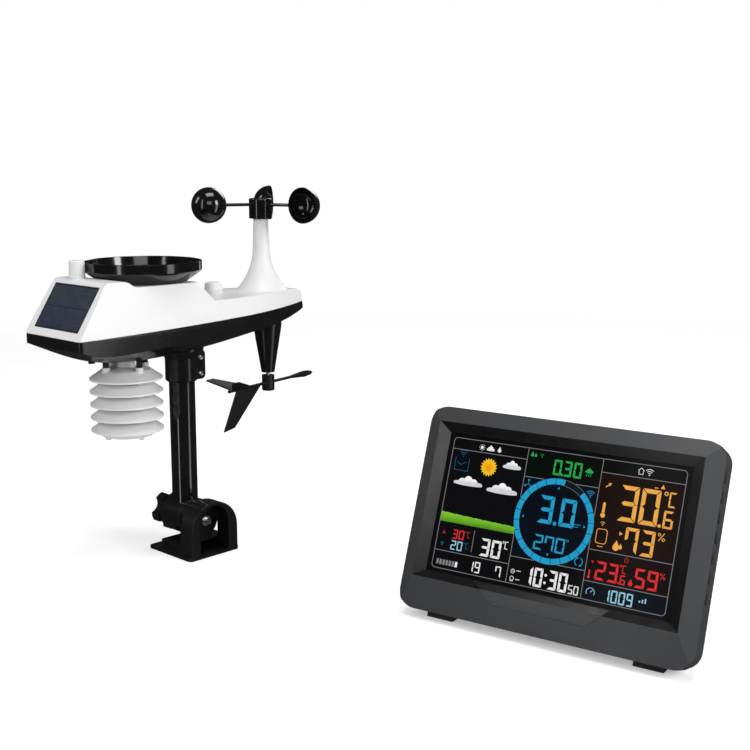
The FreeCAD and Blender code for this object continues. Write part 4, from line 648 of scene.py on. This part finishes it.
def tints():
    """The faint colours of the display's zones."""
    zones = (
        ("zone_wind", LEFT_LINE, RIGHT_LINE, RAIN_ROW, TIME_ROW, (0.0012, 0.0035, 0.0085, 1)),
        ("zone_rain", LEFT_LINE, RIGHT_LINE, 0, RAIN_ROW, (0.0010, 0.0032, 0.0016, 1)),
        ("zone_outdoor", RIGHT_LINE, WIDE, TITLE, SCENE_END, (0.0085, 0.0022, 0.0008, 1)),
        ("zone_indoor", RIGHT_LINE, WIDE, SCENE_END, LOW_ROW, (0.0052, 0.0010, 0.0010, 1)),
        ("zone_pressure", RIGHT_LINE, WIDE, LOW_ROW, HIGH, (0.0010, 0.0035, 0.0075, 1)),
    )
    for name, left, right, top, foot, colour in zones:
        tint = Print()
        corners = [(left + 0.3, top + 0.3), (right - 0.3, top + 0.3), (right - 0.3, foot - 0.3),
                   (left + 0.3, foot - 0.3)]
        tint.plate([on_screen(*p) for p in corners], TINT_TOP, SUNK)
        show(tint, name, lit("lit_" + name, colour))


def border_lines():
    """The thin pale lines between the zones, stopping where the wind ring passes over them."""
    width = 0.55
    stroke("faint", round_box(0, WIDE, 0, HIGH, 3.2), width, LINE_TOP, closed=True)
    for x in (LEFT_LINE, RIGHT_LINE):
        stroke("faint", [(x, 0.3), (x, HIGH - 0.3)], width, LINE_TOP)
    side = LEFT_LINE - width / 2
    for down in (10.0, LOW_ROW - 0.2):
        stroke("faint", [(0.3, down), (side, down)], width, LINE_TOP)
    near, far = LEFT_LINE + width / 2, RIGHT_LINE - width / 2
    stroke("faint", [(near, RAIN_ROW), (far, RAIN_ROW)], width, LINE_TOP)
    stroke("faint", [(near, TIME_ROW), (far, TIME_ROW)], width, LINE_TOP)
    for down in (11.1, SCENE_END, LOW_ROW + 0.3):
        stroke("faint", [(RIGHT_LINE + width / 2, down), (WIDE - 0.3, down)], width, LINE_TOP)
    stroke("faint", [(35.9, 78.3), (35.9, 97.2)], 0.45, LINE_TOP)


RING = (0.4995 * WIDE, 58.3)
RING_RADIUS, RING_INNER = 36.2, 31.2


def wind_zone():
    """The ring of wind directions, with the sector it comes from left dark, and both readings."""
    sectors, dark = 24, (1, 2)
    sweep = 360 / sectors
    centre = on_screen(*RING)
    backing = Print()
    outer, inner = (arc(centre, radius, 0, 360, 96)[:-1]
                    for radius in (RING_RADIUS + 0.5, RING_INNER - 0.5))
    backing.strip(outer, inner, LINE_TOP + 0.02, SUNK, closed=True)
    show(backing, "ring_bed", lit("lit_ring_bed", (0.002, 0.009, 0.014, 1)))
    offset = 6.2
    for sector in range(sectors):
        if sector in dark:
            continue
        start = sector * sweep - offset
        prints["cyan"].strip(arc(centre, RING_RADIUS, start + 0.4, start + sweep - 0.4, 5),
                             arc(centre, RING_INNER, start + 0.4, start + sweep - 0.4, 5), INK_TOP, SUNK)
    for radius in (RING_RADIUS, RING_INNER):
        start = dark[0] * sweep - offset
        prints["faint"].line(arc(centre, radius, start + 0.6, start + len(dark) * sweep - 0.6, 8),
                             0.3, INK_TOP, SUNK)
    for turn in range(0, 360, 90):
        angle = math.radians(turn)
        triangle("cyan", RING[0] + 28 * math.sin(angle), RING[1] - 28 * math.cos(angle), 1.3, turn)
    digits("cyan", "3", 91.5, 37.9, 23.4, 13.6, 3.2)
    shape("cyan", round_down(108.2, 60.0, 1.7))
    digits("cyan", "0", 111.6, 37.9, 23.4, 13.6, 3.2)
    stroke("cyan", [(123.8, 57.6), (131.4, 57.6)], 0.5)
    stroke("cyan", [(123.8, 59.6), (129.6, 59.6)], 0.5)
    digits("cyan", "270", 92.4, 71.2, 12.6, 8.2, 1.7, 1.5)
    stroke("cyan", round_down(122.4, 72.2, 0.8, 14), 0.4, closed=True)
    fan_icon("cyan", 78.2, 30.6, 3.3)
    waves("cyan", 135.4, 33.2, 6.0)
    turning_arrows("cyan", 135.0, 87.2, 3.4)


def fan_icon(ink, x, down, size):
    """Three cups on short arms."""
    for turn in (0, 120, 240):
        angle = math.radians(turn)
        tip = (x + size * math.sin(angle), down - size * math.cos(angle))
        stroke(ink, [(x, down), tip], size * 0.12)
        shape(ink, round_down(tip[0], tip[1], size * 0.26, 12))


def turning_arrows(ink, x, down, size):
    """A round arrow, for values that update."""
    for start in (20, 200):
        turn = bow(x, down, size, start, start + 131, 13)
        stroke(ink, turn, size * 0.2)
        triangle(ink, turn[-1][0], turn[-1][1], size * 0.38, start + 130 + 90)


def rain_zone():
    digits("green", "0.30", 98.7, 6.5, 13.1, 7.3, 1.9)
    drop("green", 77.4, 2.6, 4.4)
    drop("green", 80.6, 3.6, 3.4)
    waves("green", 86.4, 6.2, 4.2, 2)
    shape("green", [(131 + x, 11.5 - y) for x, y in cloud_points(7.5, 4.2)])
    for x in (129.4, 131.4, 133.2):
        stroke("green", [(x, 14.2), (x - 0.7, 16.6)], 0.45)


def outdoor_zone():
    digits("orange", "30", 161.0, 18.9, 29.3, 15.7, 2.5, 3.5)
    shape("orange", round_down(197.2, 46.9, 1.4))
    digits("orange", "6", 199.6, 34.0, 14.3, 8.2, 0, 1.8)
    celsius("orange", 197.4, 18.9, 12.2)
    digits("orange", "73", 170.7, 52.2, 20.9, 11.2, 2.5, 2.6)
    per_cent("orange", 197.4, 52.2, 6.6)
    drop("orange", 164.4, 64.2, 8.6)
    drop("orange", 168.2, 66.4, 4.6)
    triangle("orange", 166.6, 58.4, 1.9, 90)
    thermometer("orange", 148.8, 35.4, 12.8)
    waves("orange", 150.2, 54.4, 5.2, 2)
    stroke("orange", round_box(146.2, 155.4, 57.4, 69.2, 2.2), 0.6, closed=True)
    stroke("orange", [(148.4, 71.6), (153.4, 71.6)], 0.6)
    stroke("orange", [(147.6, 22.8), (150.6, 20.4)], 0.9)
    triangle("orange", 151.0, 20.0, 1.7, 55)
    triangle("orange", 195.4, 16.2, 2.2, 0)
    stroke("orange", [(188.6, 17.2), (191.4, 17.2)], 0.7)


def indoor_zone():
    end = digits("red", "23", 150.5, 83.4, 15.2, 8.8, 1.7, 2.0)
    shape("red", round_down(end - 0.2, 97.8, 0.8))
    digits("red", "6", end + 0.9, 91.0, 7.7, 4.5, 0, 1.0)
    celsius("red", 170.6, 82.9, 6.8)
    digits("red", "59", 184.3, 83.2, 15.4, 8.7, 1.7, 2.0)
    per_cent("red", 204.4, 83.4, 5.0)
    drop("red", 181.4, 92.6, 5.8)
    thermometer("red", 145.6, 91.4, 7.4)
    house("red", 173.4, 76.6, 3.8)
    triangle("red", 147.0, 84.8, 1.3, 55)


def pressure_zone():
    digits("ice", "1009", 160.6, 104.3, 10.2, 5.3, 1.3, 1.2)
    stroke("ice", bow(149.4, 109.6, 3.6, -120, 121, 15), 0.5)
    stroke("ice", [(149.4, 109.6), (151.2, 107.6)], 0.5)
    for number in range(3):
        stroke("ice", [(191.4 + 2.4 * number, 108.0 - 1.2 * number), (191.4 + 2.4 * number, 109.6)], 1.1)


def clock_zone():
    digits("white", "10:30", 88.6, 98.7, 15.8, 7.8, 1.6, 2.1)
    digits("white", "50", 129.8, 107.2, 7.3, 4.2, 0.8, 0.9)
    stroke("white", round_down(78.2, 105.6, 1.7, 18), 0.45, closed=True)
    stroke("white", [(78.2, 104.5), (78.2, 105.6), (79.1, 106.0)], 0.35)
    stroke("white", [(81.6, 104.7), (85.4, 104.7)], 0.6)
    stroke("white", round_down(78.2, 111.6, 1.7, 18), 0.45, closed=True)
    stroke("white", [(76.6, 113.9), (79.8, 113.9)], 0.45)
    stroke("white", [(81.6, 112.0), (85.4, 112.0)], 0.6)
    for number in range(7):
        left = 4.0 + 3.1 * number
        ink = "white" if number == 6 else "faint"
        shape(ink, [(left, 108.0), (left + 2.2, 108.0), (left + 2.2, 112.6), (left, 112.6)])
    digits("white", "19", 35.4, 104.3, 9.5, 5.2, 1.2, 1.1)
    digits("white", "7", 61.8, 104.3, 9.3, 5.4, 0, 1.1)


def forecast_zone():
    """The title symbols, the link to the sensor, the day's highest and lowest, and the temperature."""
    waves("blue", 11.4, 16.0, 6.4)
    stroke("blue", [(4.6, 17.2), (4.6, 28.4), (18.2, 28.4), (18.2, 17.2)], 0.6)
    stroke("blue", [(6.6, 21.0), (10.2, 23.4), (16.2, 20.4)], 0.6)
    sun = Vector((28.6, 5.6))
    shape("white", round_down(sun.x, sun.y, 1.4, 18))
    for turn in range(0, 360, 45):
        ray = Vector((math.sin(math.radians(turn)), math.cos(math.radians(turn))))
        stroke("white", [sun + ray * 2.0, sun + ray * 2.9], 0.45)
    shape("white", [(37 + x, 5.2 - y) for x, y in cloud_points(8, 4.8)])
    drop("white", 45.6, 2.8, 5.2)
    house("white", 172.6, 3.0, 5.2)
    waves("white", 182.4, 8.0, 5.6)
    triangle("dim_red", 6.2, 84.6, 2.2, 0)
    triangle("blue", 6.2, 94.2, 2.2, 180)
    digits("red", "30", 15.0, 80.4, 8.1, 5.1, 1.2, 1.1)
    celsius("dim_red", 27.6, 80.4, 5.6)
    digits("ice", "20", 15.0, 90.1, 8.1, 5.1, 1.2, 1.1)
    celsius("blue", 27.6, 90.1, 5.6)
    digits("white", "30", 43.8, 83.2, 15.2, 8.9, 1.9, 2.1)
    celsius("white", 64.2, 82.4, 6.6)


def weather_picture():
    """The sun, three clouds and a strip of grass, each with its own shading."""
    sun_place = lcd_place @ Matrix.Translation(Vector((*on_screen(38.2, 22.0), 0)) * MM)
    sun = Print()
    rays, tip, root = 18, 8.2, 6.2
    points = []
    for step in range(2 * rays):
        points += arc((0, 0), tip if step % 2 else root, step * 180 / rays, step * 180 / rays + 1, 1)[:1]
    sun.plate(points, INK_TOP, SUNK)
    gold = lit("lit_sun", linear(247, 142, 10), 1.0, linear(252, 208, 40), None, tip * 0.9 * MM)
    show(sun, "sun", gold, sun_place)
    vapour = lit("lit_cloud", linear(214, 216, 220), 1.0, linear(252, 252, 252), (0, 1, 0), 1.6 * MM)
    clouds = ((60.2, 16.8, 18.0, 7.4), (20.8, 36.6, 29.5, 8.4), (54.6, 38.2, 30.5, 9.2))
    for number, (x, down, width, height) in enumerate(clouds, 1):
        place = lcd_place @ Matrix.Translation(Vector((*on_screen(x, down), 0)) * MM)
        cloud = Print()
        cloud.plate(cloud_points(width, height), INK_TOP, SUNK)
        show(cloud, "cloud_%d" % number, vapour, place)
    grass_place = lcd_place @ Matrix.Translation(Vector((*on_screen(LEFT_LINE / 2, 71), 0)) * MM)
    half = LEFT_LINE / 2 - 0.4
    crest = []
    for step in range(41):
        share = step / 40
        blade = 0.35 * math.sin(step * 2.4) + 0.25 * math.sin(step * 5.1)
        crest.append((-half + 2 * half * share, 4.6 - 2.4 * share ** 0.7 + blade * 0.5))
    grass = Print()
    grass.plate([(-half, -4.0), (half, -4.0)] + crest[::-1], INK_TOP, SUNK)
    meadow = lit("lit_grass", linear(74, 140, 24), 1.0, linear(136, 206, 52), (0, 1, 0), 4.5 * MM)
    show(grass, "grass", meadow, grass_place)


tints()
border_lines()
wind_zone()
rain_zone()
outdoor_zone()
indoor_zone()
pressure_zone()
clock_zone()
forecast_zone()
weather_picture()
for ink, printed in prints.items():
    show(printed, ink, ink_materials[ink])


# ---------------------------------------------------------------- floor, light and camera

FLOOR_LIFT, FLOOR_BOUNCE = 0.34, 0.8
FLOOR_RADIUS, FADE_START, FADE_END = 8, 0.7, 2.2
FLOOR_GAP = 0.2 * MM


def stage_floor():
    """A pale floor that fades into the white surroundings, and that shiny surfaces do not mirror."""
    mesh = bmesh.new()
    bmesh.ops.create_circle(mesh, cap_ends=True, segments=96, radius=FLOOR_RADIUS)
    data = bpy.data.meshes.new("floor")
    mesh.to_mesh(data)
    mesh.free()
    floor = bpy.data.objects.new("floor", data)
    bpy.context.scene.collection.objects.link(floor)
    floor.location.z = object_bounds()[0].z - FLOOR_GAP
    s = Shader("floor_paper")
    reach = s.node("VectorMath", {0: s.place(), 1: (0.2, 0, 0)}, operation="DISTANCE").outputs["Value"]
    far = s.node("MapRange", {"Value": reach, "From Min": FADE_START, "From Max": FADE_END},
                 interpolation_type="SMOOTHSTEP").outputs["Result"]
    paper = s.mix(s.noise(3, 2), (0.83, 0.83, 0.83, 1), (0.86, 0.86, 0.86, 1))
    path = s.node("LightPath").outputs
    shade = s.mix(path["Is Diffuse Ray"], paper, (FLOOR_BOUNCE, FLOOR_BOUNCE, FLOOR_BOUNCE, 1))
    lift = s.maths("MULTIPLY", path["Is Camera Ray"], FLOOR_LIFT)
    surface = s.node("BsdfPrincipled", {
        "Base Color": shade, "Roughness": 0.75, "Specular IOR Level": 0.1, "Emission Color": (1, 1, 1, 1),
        "Emission Strength": lift, "Normal": s.bump(s.noise(400), 0.05, 0.1 * MM)})
    clear = s.node("BsdfTransparent")
    unseen = s.maths("MAXIMUM", far, path["Is Glossy Ray"])
    faded = s.node("MixShader", {0: unseen, 1: surface.outputs[0], 2: clear.outputs[0]})
    s.node("OutputMaterial", {"Surface": faded.outputs[0]})
    data.materials.append(s.material)


def surroundings():
    """White to the camera, a soft fill to matt surfaces, and dim to shiny ones."""
    world = bpy.data.worlds.new("studio")
    world.use_nodes = True
    tree = world.node_tree
    tree.nodes.clear()
    path = tree.nodes.new("ShaderNodeLightPath")
    shades = {"seen": (1.0, 1.0, 1.0, 1), "mirrored": (0.04, 0.04, 0.042, 1),
              "fill": (0.36, 0.36, 0.365, 1)}
    lamps = {}
    for name, colour in shades.items():
        lamps[name] = tree.nodes.new("ShaderNodeBackground")
        lamps[name].inputs["Color"].default_value = colour
    glossy = tree.nodes.new("ShaderNodeMixShader")
    tree.links.new(path.outputs["Is Glossy Ray"], glossy.inputs[0])
    tree.links.new(lamps["fill"].outputs[0], glossy.inputs[1])
    tree.links.new(lamps["mirrored"].outputs[0], glossy.inputs[2])
    camera = tree.nodes.new("ShaderNodeMixShader")
    tree.links.new(path.outputs["Is Camera Ray"], camera.inputs[0])
    tree.links.new(glossy.outputs[0], camera.inputs[1])
    tree.links.new(lamps["seen"].outputs[0], camera.inputs[2])
    output = tree.nodes.new("ShaderNodeOutputWorld")
    tree.links.new(camera.outputs[0], output.inputs["Surface"])
    bpy.context.scene.world = world


CAMERA_PLACE = Vector((0.978, -0.737, 0.400))
CAMERA_HEADING = 133.7
CAMERA_DIP = 10.25
LENS = 57.6
heading = Vector((math.cos(math.radians(CAMERA_HEADING)), math.sin(math.radians(CAMERA_HEADING)), 0))
rightward = heading.cross(UP)


def camera():
    data = bpy.data.cameras.new("camera")
    data.lens = LENS
    data.sensor_width = 36
    data.clip_start = 0.02
    data.clip_end = 40
    made = bpy.data.objects.new("camera", data)
    bpy.context.scene.collection.objects.link(made)
    dip = math.radians(CAMERA_DIP)
    sight = heading * math.cos(dip) - UP * math.sin(dip)
    made.location = CAMERA_PLACE
    made.rotation_euler = sight.to_track_quat("-Z", "Y").to_euler()
    bpy.context.scene.camera = made


def softbox(name, right, near, high, wide, tall, power):
    """A rectangular light, placed to the right of, nearer than and above the object's middle."""
    middle = (cad_box[0] + cad_box[1]) / 2
    data = bpy.data.lights.new(name, "AREA")
    data.shape = "RECTANGLE"
    data.size, data.size_y = wide, tall
    data.energy = power
    made = bpy.data.objects.new(name, data)
    bpy.context.scene.collection.objects.link(made)
    made.location = middle + rightward * right - heading * near + UP * high
    made.visible_camera = False
    made.rotation_euler = (middle - made.location).to_track_quat("-Z", "Y").to_euler()


stage_floor()
surroundings()
camera()
softbox("left_box", -1.7, 0.1, 0.9, 0.35, 0.9, 6)
softbox("left_strip", -1.0, 1.0, 0.0, 0.16, 2.4, 6)
softbox("right_box", 1.6, 0.7, 0.7, 0.5, 0.8, 15)
softbox("right_strip", 1.5, 0.7, -0.1, 0.45, 2.6, 11)
softbox("front_box", 0.3, 1.7, 0.75, 1.0, 0.7, 6)
softbox("top_box", 0.1, 0.2, 1.7, 1.1, 0.7, 15)
softbox("back_box", 0.4, -1.7, 0.9, 1.0, 0.7, 8)
bpy.context.scene.view_settings.view_transform = "Standard"
